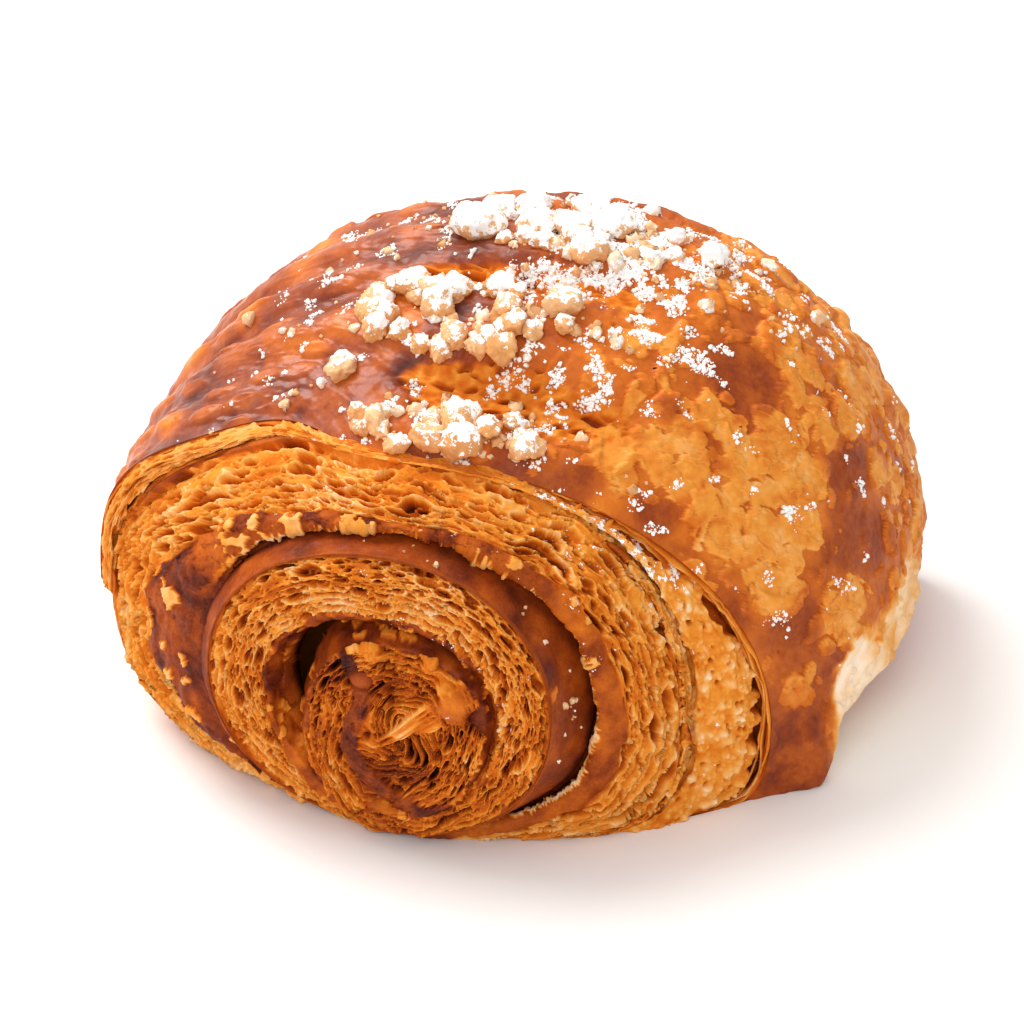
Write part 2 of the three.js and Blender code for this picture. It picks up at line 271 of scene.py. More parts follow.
class Value:
    """A node's socket that can be used in sums."""

    def __init__(self, nodes, socket):
        self.nodes, self.socket = nodes, socket

    def sum_of(self, operation, first, second):
        return self.nodes.add("ShaderNodeMath", {"operation": operation}, {0: first, 1: second})

    def __add__(self, other):
        return self.sum_of("ADD", self, other)

    def __sub__(self, other):
        return self.sum_of("SUBTRACT", self, other)

    def __rsub__(self, other):
        return self.sum_of("SUBTRACT", other, self)

    def __mul__(self, other):
        return self.sum_of("MULTIPLY", self, other)

    __radd__ = __add__
    __rmul__ = __mul__


class Nodes:
    """A node tree whose nodes are added one by one."""

    def __init__(self, tree):
        self.tree = tree

    def add(self, kind, settings=None, inputs=None, output=0):
        node = self.tree.nodes.new(kind)
        for setting, value in (settings or {}).items():
            if setting == "stops":
                ramp = node.color_ramp.elements
                while len(ramp) < len(value):
                    ramp.new(0.5)
                for element, (place, colour) in zip(ramp, value):
                    element.position = place
                    element.color = colour
            else:
                setattr(node, setting, value)
        for socket, value in (inputs or {}).items():
            if isinstance(value, Value):
                self.tree.links.new(value.socket, node.inputs[socket])
            else:
                node.inputs[socket].default_value = value
        return Value(self, node.outputs[output]) if len(node.outputs) else node


class Finish(Nodes):
    """A material whose nodes are added one by one."""

    def __init__(self, name):
        self.material = bpy.data.materials.new(name)
        self.material.use_nodes = True
        super().__init__(self.material.node_tree)
        self.tree.nodes.clear()

    def mark(self, name):
        return self.add("ShaderNodeAttribute", {"attribute_name": name}, output="Fac")

    def noise(self, size, detail=2.0, roughness=0.5, stretch=(1, 1, 1)):
        """Noise lumps of the given size in millimetres, 0 to 1, fixed in the object's space."""
        place = self.add("ShaderNodeTexCoord", output="Object")
        place = self.add("ShaderNodeMapping", None, {"Vector": place, "Scale": stretch})
        settings = {"noise_dimensions": "3D"}
        inputs = {"Vector": place, "Scale": 1 / (size * MM), "Detail": detail, "Roughness": roughness}
        return self.add("ShaderNodeTexNoise", settings, inputs)

    def step(self, value, low, high):
        inputs = {0: value, 1: low, 2: high, 3: 0.0, 4: 1.0}
        return self.add("ShaderNodeMapRange", {"interpolation_type": "SMOOTHSTEP"}, inputs)

    def blend(self, share, first, second):
        settings = {"data_type": "RGBA", "clamp_factor": True}
        return self.add("ShaderNodeMix", settings, {0: share, 6: first, 7: second}, output=2)

    def bump(self, height, strength, distance, under=None):
        inputs = {"Height": height, "Strength": strength, "Distance": distance * MM}
        if under:
            inputs["Normal"] = under
        return self.add("ShaderNodeBump", None, inputs)


def paint(red, green, blue):
    """A linear colour from the 0 to 255 values that a painter would mix it by."""
    shares = [value / 255 for value in (red, green, blue)]
    return (*(s / 12.92 if s <= 0.04045 else ((s + 0.055) / 1.055) ** 2.4 for s in shares), 1)


# how dough browns, from a pale, hardly baked crumb to the darkest crust
BROWNING = (
    (0.00, paint(255, 236, 212)),
    (0.14, paint(249, 213, 170)),
    (0.28, paint(241, 182, 110)),
    (0.42, paint(232, 149, 54)),
    (0.55, paint(212, 112, 26)),
    (0.67, paint(186, 90, 22)),
    (0.78, paint(148, 62, 17)),
    (0.89, paint(98, 37, 20)),
    (1.00, paint(44, 14, 10)),
)
SUGAR_WHITE = paint(253, 252, 250)


def baked_finish(name, mottle, grain, rise, gloss, shine=0.2, browning=BROWNING):
    """Dough by its marks: "bake" along the browning, "dry" from glazed to crumbly, "sugar" dusted."""
    finish = Finish(name)
    dry = finish.mark("dry")
    large = finish.noise(mottle, 4.0, 0.6)
    small = finish.noise(grain, 3.0, 0.65)
    bake = finish.mark("bake") + (large - 0.5) * 0.22 + (small - 0.5) * 0.16
    colour = finish.add("ShaderNodeValToRGB", {"stops": browning}, {0: bake})
    clumps = finish.noise(1.3, 3.0, 0.7)
    white = finish.step(clumps + finish.mark("sugar"), 1.0, 1.02)
    colour = finish.blend(white, colour, SUGAR_WHITE)
    normal = finish.bump(small * 0.6 + large * 0.4 + white * 0.9, 0.5, rise)
    inputs = {
        "Base Color": colour,
        "Roughness": (0.42 + dry * 0.34 + (small - 0.5) * 0.25) + white * 0.3,
        "Coat Weight": (1 - dry) * (1 - white) * gloss,
        "Coat Roughness": 0.3,
        "Specular IOR Level": shine,
        "Normal": normal,
    }
    shader = finish.add("ShaderNodeBsdfPrincipled", None, inputs)
    finish.add("ShaderNodeOutputMaterial", None, {"Surface": shader})
    return finish.material


def add_piece(name, mesh, material):
    """A mesh as a piece of the pastry, in one material."""
    piece = bpy.data.objects.new(name, mesh)
    bpy.context.scene.collection.objects.link(piece)
    mesh.materials.clear()
    mesh.materials.append(material)
    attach(piece, "root")
    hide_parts("pastry")
    return piece


PIECE_TRIANGLES = 190000


def add_tube(name, rings, material, slot, **marks):
    """A long tube as several closed pieces, each light enough to handle."""
    rings[..., 2] = BASE_ROUNDING * np.logaddexp(0, rings[..., 2] / BASE_ROUNDING)
    facing = outward(rings, rings.mean(1, keepdims=True))
    steps = len(rings) - 1
    parts = math.ceil(2 * steps * rings.shape[1] / PIECE_TRIANGLES)
    for part in range(parts):
        start, stop = steps * part // parts, steps * (part + 1) // parts + 1
        part_marks = {
            mark: np.broadcast_to(values, rings.shape[:2])[start:stop] for mark, values in marks.items()
        }
        label = f"{name}_{part + 1}" if parts > 1 else name
        mesh = tube_mesh(label, rings[start:stop], **part_marks)
        ends = np.zeros((2, 3))  # left to the mesh itself
        if parts > 1:
            own_facing = facing[start:stop].reshape(-1, 3)
            mesh.normals_split_custom_set_from_vertices(np.concatenate([own_facing, ends]))
        add_piece(label, mesh, material)


# slashes across the top: place along the roll, from and to which wind, depth and width
SLASHES = (
    (-0.765, 0.215, 0.325, 3.0, 0.085),
    (-0.31, 0.185, 0.285, 2.4, 0.07),
    (0.42, 0.2, 0.3, 2.0, 0.07),
)
SLASH_LIP_HEIGHT, SLASH_LIP_AWAY, SLASH_TAPER = 0.35, 1.9, 0.03
FOLD_FROM, FOLD_TO, FOLD_SWELL, FOLD_DEPTH = 0.0, 0.2, 1.1, 0.9
FOLD_WAVES, FOLD_START, FOLD_SLANT = 3.3, 0.55, 2.2

# where the top leaves of dough browned least and most: wind, along and radius
GOLDEN = (
    (0.356, -0.775, 5.5), (0.384, -0.690, 5.0), (0.380, -0.535, 6.0), (0.404, -0.748, 6.0),
    (0.412, -0.613, 5.5), (0.397, -0.470, 5.0), (0.430, -0.825, 4.6), (0.423, -0.725, 3.6),
    (0.403, -0.870, 3.4), (0.373, -0.435, 3.2), (0.379, -0.292, 4.0), (0.367, -0.287, 3.0),
    (0.387, 0.153, 3.5), (0.390, -0.090, 3.0), (0.357, -0.157, 3.0), (0.345, -0.552, 2.8),
    (0.334, -0.820, 3.0), (0.347, -0.877, 2.4), (0.458, -0.547, 3.6), (0.419, -0.050, 2.6),
    (0.372, -0.600, 4.0), (0.393, -0.600, 4.0), (0.488, -0.860, 2.0), (0.478, -0.905, 1.2),
    (0.462, -0.585, 4.2),
)
AMBER = (
    (0.322, -0.640, 9.0), (0.308, -0.203, 5.0), (0.335, 0.120, 6.0), (0.30, -0.45, 6.0),
    (0.147, -0.670, 3.4), (0.466, -0.70, 4.5), (0.478, -0.78, 3.0), (0.47, -0.45, 3.0),
    (0.44, 0.05, 6.0), (0.40, 0.45, 9.0), (0.34, 0.6, 9.0), (0.46, 0.55, 7.0),
)
MAHOGANY = (
    (0.345, -0.370, 5.5), (0.359, -0.422, 4.0), (0.408, -0.320, 4.6), (0.408, -0.160, 4.0),
    (0.371, -0.905, 3.6), (0.454, -0.807, 4.5), (0.440, -0.323, 5.0), (0.336, -0.960, 3.4),
    (0.267, -0.985, 5.0), (0.190, -0.900, 5.0), (0.486, -0.640, 4.0), (0.300, -0.950, 4.0),
)
LEAF_SIZE, LEAF_RISE = 6.5, 0.85
LEAF_KINDS = ((33, 1.0, 1.0), (43, 0.62, 0.7), (53, 0.36, 0.45))  # seed, and shares of size and rise
BLISTER_SIZE, PINHOLE_SIZE = 8, 3.2

# how far each kind of surface is baked, 0 to 1
CRUST_BAKED, FLANK_BAKED, MAHOGANY_BAKED, TOE_BAKED = 0.66, 0.68, 0.765, 0.79
TORN_BAKED, PALE_BAKED, LAYERED_BAKED, LOOSE_END_BAKED = 0.50, 0.05, 0.40, 0.64

# the pale, torn strip low on the right flank, where the roll touched its neighbour
PALE_STRIP = ((0.535, -0.93), (0.524, -0.62), (0.518, -0.42), (0.511, -0.15), (0.506, 0.17), (0.502, 0.6))
PALE_WIDTH = 10.0

# where icing sugar lies thickest: how thickly, then the middle and the spread, round and along
SUGAR_HEAPS = ((0.30, 0.262, 0.045, 0.02, 0.3), (0.13, 0.285, 0.06, -0.35, 0.4))

crust_winds = np.concatenate([np.linspace(0, 0.56, 540, endpoint=False), np.linspace(0.56, 1, 56)])
crust_alongs = np.concatenate([
    np.linspace(-1, 0, 230, endpoint=False),
    np.linspace(0, 0.4, 66, endpoint=False),
    np.linspace(0.4, 1, 34),
])
LIP_ROWS = ((0.25, 0.35), (0.7, 0.5), (1.0, 1.4), (1.0, 4.0), (1.6, 8.0))  # inwards, and back
TAIL_STEPS = (0.2, 0.4, 0.6, 0.8)
ROUND_MM, ALONG_MM = 290, 48

wind, along = np.meshgrid(crust_winds, crust_alongs, indexing="xy")
crust = smooth_crust(wind, along)
place = np.moveaxis(crust, -1, 0)
across_mm, along_mm = wind * ROUND_MM, along * ALONG_MM
nothing = np.zeros_like(wind)


def strength(spots, power=2):
    """How strongly each point lies within any of the spots, 0 to 1."""
    total = np.zeros_like(wind)
    for spot_wind, spot_along, radius in spots:
        away = np.linalg.norm(crust - smooth_crust(spot_wind, spot_along), axis=-1) / radius
        total = np.maximum(total, np.exp(-(away**power)))
    return total


height = np.zeros_like(wind)
torn_open = np.zeros_like(wind)
for slash_along, start, stop, depth, width in SLASHES:
    ragged = 0.5 * clouds(3, 3.0, across_mm, nothing) + 0.25 * clouds(4, 0.9, across_mm, nothing)
    off = (along - slash_along) / width + ragged * 0.5
    valley = np.exp(-(off**2))
    lips = SLASH_LIP_HEIGHT * np.exp(-((np.abs(off) - SLASH_LIP_AWAY) ** 2))
    reach = between(wind, start, stop, SLASH_TAPER)
    height += depth * (lips - valley) * reach
    torn_open = np.maximum(torn_open, smooth_step(valley * reach + 0.06 * ragged, 0.3, 0.45))
wave = np.cos(2 * np.pi * (FOLD_WAVES * along + FOLD_START + FOLD_SLANT * wind))
shoulder = between(wind, FOLD_FROM, FOLD_TO, SOFT)
height += (FOLD_SWELL + FOLD_DEPTH * wave) * (1 - along**2) * shoulder
flare_round = (wind - FLARE_WIND) / FLARE_WIND_SPREAD
flare_along = (along - FLARE_ALONG) / FLARE_ALONG_SPREAD
height += FLARE_OUT * np.exp(-(flare_round**2) - flare_along**2)

# wrinkles and long blisters on the left shoulder, drawn out with the folds
slant = along_mm * 0.9 + across_mm * 0.35
level = across_mm * 0.9 - along_mm * 0.35
long_blister, _, blister_own = bubbles(15, level / 7.5, slant / 5 + 0.5 * clouds(16, 9, level, slant))
long_blister = fading(long_blister, 0.2, 0.46) * smooth_step(blister_own, 0.3, 0.6)
wrinkle = 1 - np.abs(rough(23, 1.0, 3, level / 8, slant / 2.2))
creased = between(wind, -0.1, 0.25, 0.05)
pin_near, _, pin_own = bubbles(18, *(axis / PINHOLE_SIZE for axis in place))
pinholes = fading(pin_near, 0.06, 0.12) * (pin_own > 0.6)
height += creased * (0.5 * long_blister + 0.15 * (wrinkle**2 - 0.5)) - 0.3 * pinholes

# round blisters everywhere, and leaves of dough that lifted before they browned
warp = [axis + 0.8 * rough(31 + k, 2.6, 3, *place) for k, axis in enumerate(place)]
near, _, own = bubbles(11, *(axis / BLISTER_SIZE for axis in warp))
blister = fading(near, 0.05, 0.6) * own
height += 0.8 * (blister - 0.3) * (1 - 0.6 * creased)
golden, amber, mahogany = strength(GOLDEN, 3), strength(AMBER), strength(MAHOGANY)
flank = between(wind, 0.30, 0.52, 0.03)
likely = golden - 0.5 * mahogany * (1 - golden) + 0.3 * amber
likely += 0.35 * flank * smooth_step(along, -0.5, 0.1) * (1 - mahogany)
leaf_tone, leaf_height, leaf_here = np.zeros_like(wind), np.zeros_like(wind), np.zeros_like(wind)
for seed, size, rise in LEAF_KINDS:
    near, _, own = bubbles(seed, *(axis / (LEAF_SIZE * size) for axis in warp))
    grown = 0.30 + 0.22 * own + 0.2 * likely
    leaf = fading(near - grown, -0.014, 0.016) * flank
    leaf *= (chance(seed, np.floor(own * 9999)) < 0.30 + 0.7 * likely) * 1.0
    step_up = leaf * (0.35 + 0.9 * np.sqrt(np.clip(1 - (near / grown) ** 2, 0, 1)))
    own_tone = CRUST_BAKED - 0.23 * smooth_step(likely + 0.8 * (own - 0.5), 0.0, 0.75)
    # each leaf is painted lighter towards its rim, as a painted highlight
    own_tone = own_tone - 0.09 * smooth_step(near, grown - 0.1, grown) + 0.05 * rough(59, 2.5, 4, *place)
    leaf_tone = mix(leaf_tone, own_tone, leaf)
    leaf_height = np.maximum(leaf_height * (1 - 0.4 * leaf), step_up * rise)
    leaf_here = np.maximum(leaf_here, leaf)
height += LEAF_RISE * leaf_height + 0.16 * rough(24, 2.4, 4, *place)

strip_wind = np.interp(along, [p[1] for p in PALE_STRIP], [p[0] for p in PALE_STRIP])
low = np.abs(wind - strip_wind) * 170 + 2.0 * rough(41, 5, 3, *place) + 1.2 * rough(64, 1.6, 3, *place)
strip_reach = PALE_WIDTH * mix(1, 0.3, smooth_step(along, -0.3, 0.4))
pale = fading(low, strip_reach * 0.45, strip_reach * 0.8) * (wind > 0.42)
pale *= smooth_step(along + 0.02 * rough(44, 4, 3, *place), -0.72, -0.66)
pale *= fading(along + 0.1 * rough(65, 5, 4, *place), 0.25, 0.45)
fibres = rough(42, 1.0, 2, across_mm / 1.6 + along_mm * 0.2, along_mm / 5)
height += 0.45 * fibres * pale

# torn crumb in the slashes, with small round holes between strands
_, hole_wall, hole_own = bubbles(45, across_mm / 2.6 + 0.4 * clouds(46, 2, *place), along_mm / 1.4)
pits = smooth_step(hole_wall, 0.1, 0.4) * smooth_step(hole_own, 0.45, 0.8)
height -= torn_open * (0.9 * pits - 0.4 * rough(47, 1.0, 2, across_mm / 3, along_mm / 0.7))

# low on the left the roll's layers show instead of crust
layered = between(wind, 0.78, 1.2, 0.03) * fading(along, -0.75, -0.4)
layer_lines = 1.6 * rough(43, 1.0, 3, along_mm / 1.1, across_mm / 9)
height += 0.5 * layer_lines * layered
toe = between(wind, 0.49, 0.57, 0.02) * fading(along, -0.8, -0.68)
height += toe * 0.5 * rough(60, 5, 4, *place)
crust_top = crust + outward(crust, crust.mean((0, 1))) * (height * (1 - np.abs(along) ** 24))[..., None]

tone = CRUST_BAKED + 0.07 * rough(51, 13, 3, *place)
# the left shoulder's crust is darker; on it the raised blisters and the folds' crests are painted lighter,
# as painted highlight, and their valleys darker, as painted shade
tone += creased * (0.12 - 0.12 * long_blister - 0.04 * wave + 0.12 * rough(58, 5, 4, *place))
# the pinholes are painted darker, as painted shade
tone += 0.12 * pinholes - 0.09 * amber
flank_tone = FLANK_BAKED - 0.13 * smooth_step(likely, 0.05, 0.7) + 0.12 * rough(52, 4, 4, *place)
tone = mix(tone, flank_tone, 0.85 * flank)
darkest = smooth_step(mahogany, 0.2, 0.75) * (1 - 0.7 * golden) * 0.9
tone = mix(tone, MAHOGANY_BAKED + 0.04 * rough(55, 3, 3, *place), darkest)
tone = mix(tone, TOE_BAKED + 0.10 * rough(57, 3, 4, *place), toe)
tone = mix(tone, leaf_tone + 0.05 * rough(56, 1.6, 3, *place), 0.9 * leaf_here * (1 - toe))
# the holes in the torn crumb are painted darker, as painted shade
tone = mix(tone, TORN_BAKED - 0.10 * rough(54, 1, 2, *place) + 0.22 * pits, torn_open)
browned = np.clip(rough(62, 5, 4, *place) - 0.1, 0, 1)
pale_tone = PALE_BAKED + 0.12 * smooth_step(along, -0.5, 0.1) + 0.11 * fibres + 0.22 * browned
tone = mix(tone, pale_tone, pale)
tone = mix(tone, LAYERED_BAKED + 0.12 * layer_lines, layered)
on_loose_end = smooth_step(wind, 0.62, 0.7) * (1 - layered)
tone = mix(tone, LOOSE_END_BAKED + 0.16 * rough(63, 6, 4, *place), on_loose_end)
dry = np.maximum(np.maximum(0.72 * smooth_step(wind, 0.15, 0.28), torn_open), np.maximum(pale, layered))

# icing sugar: thick over the middle of the top, thinner down the right, a little on the left
dusted = np.zeros_like(wind)
for thickness, heap_wind, wind_spread, heap_along, along_spread in SUGAR_HEAPS:
    off_wind, off_along = (wind - heap_wind) / wind_spread, (along - heap_along) / along_spread
    dusted += thickness * np.exp(-(off_wind**2) - off_along**2)
dusted += 0.04 * between(wind, 0.2, 0.33, 0.03) - 0.04 * between(wind, 0.33, 0.5, 0.03)
sugar_here = between(wind, 0.12, 0.46, 0.03) * (along < 0.55)
crust_clots = smooth_step(rough(61, 2.0, 4, *place) + 2.3 * dusted - 0.4, 0.22, 0.34) * sugar_here
sugar = (0.22 + 0.5 * dusted + 0.2 * crust_clots) * sugar_here

# the loose end of the sheet, down the left side, and the lip round each end
tail = np.stack([mix(crust_top[:, -1], crust_top[:, 0], share) for share in TAIL_STEPS], 1)
rings = np.concatenate([crust_top, tail], 1)


def drawn_in(ring, inwards, backwards):
    """A ring of the lip's underside, drawn towards the roll's middle and into it."""
    middle = ring.mean(0)
    away = ring - middle
    away[:, 1] = 0
    result = ring - away / np.linalg.norm(away, axis=1, keepdims=True) * inwards
    result[:, 1] += backwards
    return result


def edged(values, tail_value, lip_value):
    """The marks of the loose end and of the two lips, round those of the crust."""
    values = np.concatenate([values, np.full((len(values), len(TAIL_STEPS)), float(tail_value))], 1)
    lip = np.full((len(LIP_ROWS), values.shape[1]), float(lip_value))
    return np.concatenate([lip, values, lip])


front_lip = [drawn_in(rings[0], inwards, back) for inwards, back in LIP_ROWS]
back_lip = [drawn_in(rings[-1], inwards, -back) for inwards, back in LIP_ROWS]
rings = np.concatenate([front_lip[::-1], rings, back_lip])
crust_finish = baked_finish("glazed crust", 5.0, 0.8, 0.22, 0.55, shine=0.14)
add_tube(
    "crust", rings, crust_finish, "baked_crust",
    bake=edged(tone, 0.4, 0.6), dry=edged(dry, 1, 0.6), sugar=edged(sugar, 0, 0),
)
crust_facing = outward(crust_top, crust_top.mean((0, 1)))

# ---- the turns of the cut end --------------------------------------------------------------------
# Each turn of the sheet steps out past the one round it. Its skin browned in the gap, and its cut
# edge tore open into long, flat bubbles between thin, crisp walls, where the butter steamed.

# for each turn, by its quarters: the undercut inside its rim, how far it steps out of the turn round
# it, the groove at the foot of that step, and how far across its face reaches
UNDERCUT = (
    1.2, 1.0, 3.2, 0.3,
    0.8, 0.8, 1.0, 0.2,
    0.6, 0.6, 0.6, 0.2,
    0.5, 0.5, 0.5, 0.5,
)
STEP_OUT = (
    0, 0, 0, 0,
    0.8, 0.8, 0.8, 0.3,
    2.0, 3.6, 5.0, 0.8,
    3.2, 2.0, 1.0, 0.3,
)
GROOVE = (
    0, 0, 0, 0,
    0.8, 0.8, 1.0, 0.2,
    0.3, 1.6, 1.8, 0.3,
    2.5, 0.5, 0.8, 0.2,
)
FOOT = (
    1, 1, 1, 1,
    0.95, 0.95, 0.95, 0.95,
    0.92, 0.88, 0.75, 0.85,
    0.6, 0.85, 0.88, 0.85,
)
UNDERCUT_AT, UNDERCUT_WIDTH, GROOVE_FROM, SWELL, BACK_DEPTH_SHARE = 0.08, 0.1, 0.86, 1.6, 0.4


def cut_face(wind, across, back=False):
    """A turn's cut face, from its own skin (0) to the foot of the next turn's skin (1)."""
    outer, inner = rim(wind, back), rim(wind + 1, back)
    point = mix(outer, inner, (across * by_quarter(FOOT, wind + 1))[..., None])
    depth = by_quarter(UNDERCUT, wind) * hump(across, UNDERCUT_AT, UNDERCUT_WIDTH)
    depth = depth + by_quarter(STEP_OUT, wind + 1) * across
    depth = depth + by_quarter(GROOVE, wind + 1) * smooth_step(across, GROOVE_FROM, 1)
    depth = depth - SWELL * np.sin(np.pi * across) * (1 + np.sin(bearing(wind))) / 2
    level = mix(outer[..., 1], inner[..., 1], across)
    point[..., 1] = level + (-BACK_DEPTH_SHARE * depth if back else depth)
    return point


SKIN_ROWS = 24
SKIN_DEPTH, SKIN_INSET, BURIED = 5.0, 1.0, 2.0


def arc_length(wind, back=False):
    """Millimetres along the sheet at each wind."""
    fine = np.linspace(0, 5, 3000)
    path = rim(fine, back)
    travelled = np.concatenate([[0], np.cumsum(np.linalg.norm(np.diff(path, axis=0), axis=1))])
    return np.interp(wind, fine, travelled)


def sheet_width(wind, back=False):
    """Millimetres from each turn's edge to the next turn's."""
    return np.linalg.norm(rim(wind, back) - rim(wind + 1, back), axis=-1)


def turn_grid(wind, face_rows, gap_outside, gap_inside, back=False):
    """One turn as columns of points: up its skin, over its rim, across its face and back inside.

    Returns the points, "across" on the face (negative on the skin), the wind, where the face is,
    the millimetres run along the sheet, and the points once more by axis.
    """
    into = -1 if back else 1
    edge = rim(wind, back)
    foot = drawn_in(edge, SKIN_INSET, into * SKIN_DEPTH)
    top = drawn_in(edge, SKIN_INSET, into * 0.8)
    if wind[0] > 0.5:
        on_the_last_turn = cut_face(np.maximum(wind - 1, 0), np.ones_like(wind), back)
        on_the_last_turn[:, 1] += into * gap_outside
        foot = mix(foot, on_the_last_turn, smooth_step(wind, 0.94, 1.04)[:, None])
        top = edge
    deep = drawn_in(foot, 1.0, into * BURIED)
    rows, across_rows = [deep], [-1.2]
    for share in np.linspace(0, 1, SKIN_ROWS):
        rows.append(mix(foot, top, share))
        across_rows.append(share - 1)
    lift = top - edge
    for across in np.linspace(0, 1, face_rows)[1:]:
        row = cut_face(wind, np.full_like(wind, across), back)
        row += lift * fading(across, 0, 0.15)
        row[:, 1] += into * gap_inside * smooth_step(across, 0.9, 1)
        rows.append(row)
        across_rows.append(across)
    for inwards, behind in ((0.8, 1.0), (1.5, 2.5)):
        rows.append(drawn_in(row, inwards, into * behind))
        across_rows.append(1.1)
    grid = np.stack(rows, 1)
    across = np.broadcast_to(across_rows, (len(wind), len(rows)))
    wind = np.broadcast_to(wind[:, None], across.shape)
    face = (across >= 0) & (across <= 1)
    return grid, across, wind, face, arc_length(wind, back), np.moveaxis(grid, -1, 0)


# bubbles large to small: seed, and shares of size and depth; strands: seed and width
BUBBLE_KINDS = ((4, 1.0, 1.0), (14, 0.5, 0.7), (34, 0.27, 0.4))
STRAND_KINDS = ((24, 0.62), (27, 0.3))
HOLE_DEPTH, HOLE_BORDER, DEEPEST_TONE, PALEST_TONE = 1.5, 0.30, 0.34, -0.25


def torn_layers(seed, run, inwards, layer, cell, shut=0.3):
    """Torn layers of dough, in millimetres along and across them: their relief and their tone.

    Long bubbles, large and small, open between fibres that run with the layers.
    """
    sway = 0.45 * clouds(seed + 1, 1.0, run / 7, inwards / 4)
    sway = sway + 0.2 * clouds(seed + 2, 1.0, run / 2, inwards / 1.6)
    lengthwise, layers = run / cell, inwards / layer + sway
    # the tone follows the relief: it is painted lighter on the layers' crests, the bubbles' raised borders
    # and the strands, as painted highlight, and darker inside the bubbles, as painted shade
    relief = 0.22 * np.cos(2 * np.pi * layers) + 0.10 * clouds(seed + 25, 1.0, run / 0.5, inwards / 0.4)
    tone = -0.03 * np.cos(2 * np.pi * layers)
    for k, size, depth in BUBBLE_KINDS:
        near, _, own = bubbles(seed + k, lengthwise / size + 0.3 * sway, layers / size, jitter=0.95)
        away = np.minimum(near, 2) / (0.16 + 0.36 * own)
        opened = smooth_step(chance(seed + k, np.floor(own * 9999)), shut, shut + 0.25)
        hole = fading(away, 0.55, 1.05) * opened
        border = hump(away, 1.15, 0.16) * opened
        relief = relief - HOLE_DEPTH * depth * hole + HOLE_BORDER * size * border
        tone = tone + 0.21 * depth * hole - 0.15 * border
    for k, width in STRAND_KINDS:
        strand = (1 - np.abs(clouds(seed + k, 1.0, run / (width * 11), layers * layer / width))) ** 3
        relief = relief + 0.45 * width * strand
        tone = tone - 0.08 * strand
    return relief, np.clip(tone, PALEST_TONE, DEEPEST_TONE)


def flakes(seed, size, share, place):
    """Where crisp, angular flakes lie on the dough."""
    warped = [axis / size + 0.4 * rough(seed + k, 1.5, 3, *place) for k, axis in enumerate(place)]
    _, wall, own = bubbles(seed, *warped)
    return smooth_step(wall, 0.12, 0.18) * (own > 1 - share)


crumb_finish = baked_finish("layered crumb", 3.0, 0.32, 0.22, 0.16, shine=0.06)


def add_crumb(name, grid, height, **marks):
    """A piece of torn dough: its plain form, raised by its relief."""
    facing = outward(grid, grid.mean(1, keepdims=True))
    add_tube(name, grid + facing * height[..., None], crumb_finish, "layered_crumb", **marks)


# the outermost turn: layers on the left, a sandy, close crumb on the right under a recess painted dark as
# the shade beneath the crust's lip
TURN_1_COLUMNS, TURN_1_ROWS = 720, 103
TURN_1_BAKED, SAND_BAKED, RECESS_PAINTED_SHADE = 0.45, 0.36, 0.66
SAND_GRAIN, SAND_FINE_GRAIN, SAND_PORE = 1.6, 0.75, 1.3

wind_line = np.interp(np.linspace(0, 1, TURN_1_COLUMNS), [0, 0.3, 1], [0.0, 0.3, 0.74])
grid, across, wind, face, run, place = turn_grid(wind_line, TURN_1_ROWS, 0, 0.6)
width = sheet_width(wind)
relief, tone = torn_layers(100, run, across * width, 1.2, 6.0)
squeezed = smooth_step(width, 1.5, 6)
relief, tone = relief * mix(0.15, 0.9, squeezed), tone * mix(0.4, 1.1, squeezed)
near, _, own = bubbles(120, *(axis / SAND_GRAIN for axis in place))
fine_near, _, fine_own = bubbles(121, *(axis / SAND_FINE_GRAIN for axis in place))
pore_near, _, pore_own = bubbles(122, *(axis / SAND_PORE for axis in place))
pores = fading(pore_near, 0.15, 0.34) * (pore_own > 0.6)
grains = 0.6 * fading(near, 0, 0.8) * own + 0.4 * fading(fine_near, 0, 0.8) * fine_own
sandy = between(wind, 0.33, 0.8, 0.025)
recess_edge = 0.17 + 0.10 * clouds(131, 1.0, run / 7, run * 0)
recess_edge = recess_edge + 0.06 * clouds(132, 1.0, run / 1.6, run * 0)
recess = fading(across, recess_edge - 0.05, recess_edge + 0.05) * between(wind, 0.28, 0.56, 0.04)
sand_relief = 1.3 * (grains - 0.25) + 0.6 * rough(133, 4, 4, *place) - 0.9 * pores
# the sand is painted lighter on its raised grains, a painted highlight, and darker in its pores, painted
# shade
sand_tone = SAND_BAKED - 0.46 * (grains - 0.25) + 0.06 * rough(137, 1.5, 3, *place) + 0.16 * pores
height = mix(relief, sand_relief, sandy)
height = mix(height, -1.6 + 0.3 * rough(134, 2, 3, *place), recess)
height = np.where(face, height, 0) * smooth_step(across, 0, 0.06)
tone = mix(TURN_1_BAKED + tone, sand_tone, sandy) + 0.05 * rough(135, 6, 3, *place)
# the recess under the crust's lip, and the skin behind it, are painted dark as the shade the lip casts
tone = mix(tone, RECESS_PAINTED_SHADE + 0.05 * rough(138, 1.5, 3, *place), recess)
tone = np.where(across < 0, RECESS_PAINTED_SHADE, tone)
dry = np.where(face, 0.95 - 0.5 * recess, 0.5)
dusting = np.where(face, 0.29 + 0.17 * between(wind, 0.32, 0.42, 0.02) + 0.05 * clouds(136, 3, *place), 0)
add_crumb("turn_1", grid, height, bake=tone, dry=dry, sugar=dusting)

# where the smooth brown band starts on each turn's face
BAND_FROM = (
    0.95, 0.95, 0.95, 0.92,
    0.43, 0.69, 0.60, 0.60,
    0.85, 0.81, 0.93, 0.95,
    0.95, 0.95, 0.95, 0.95,
)

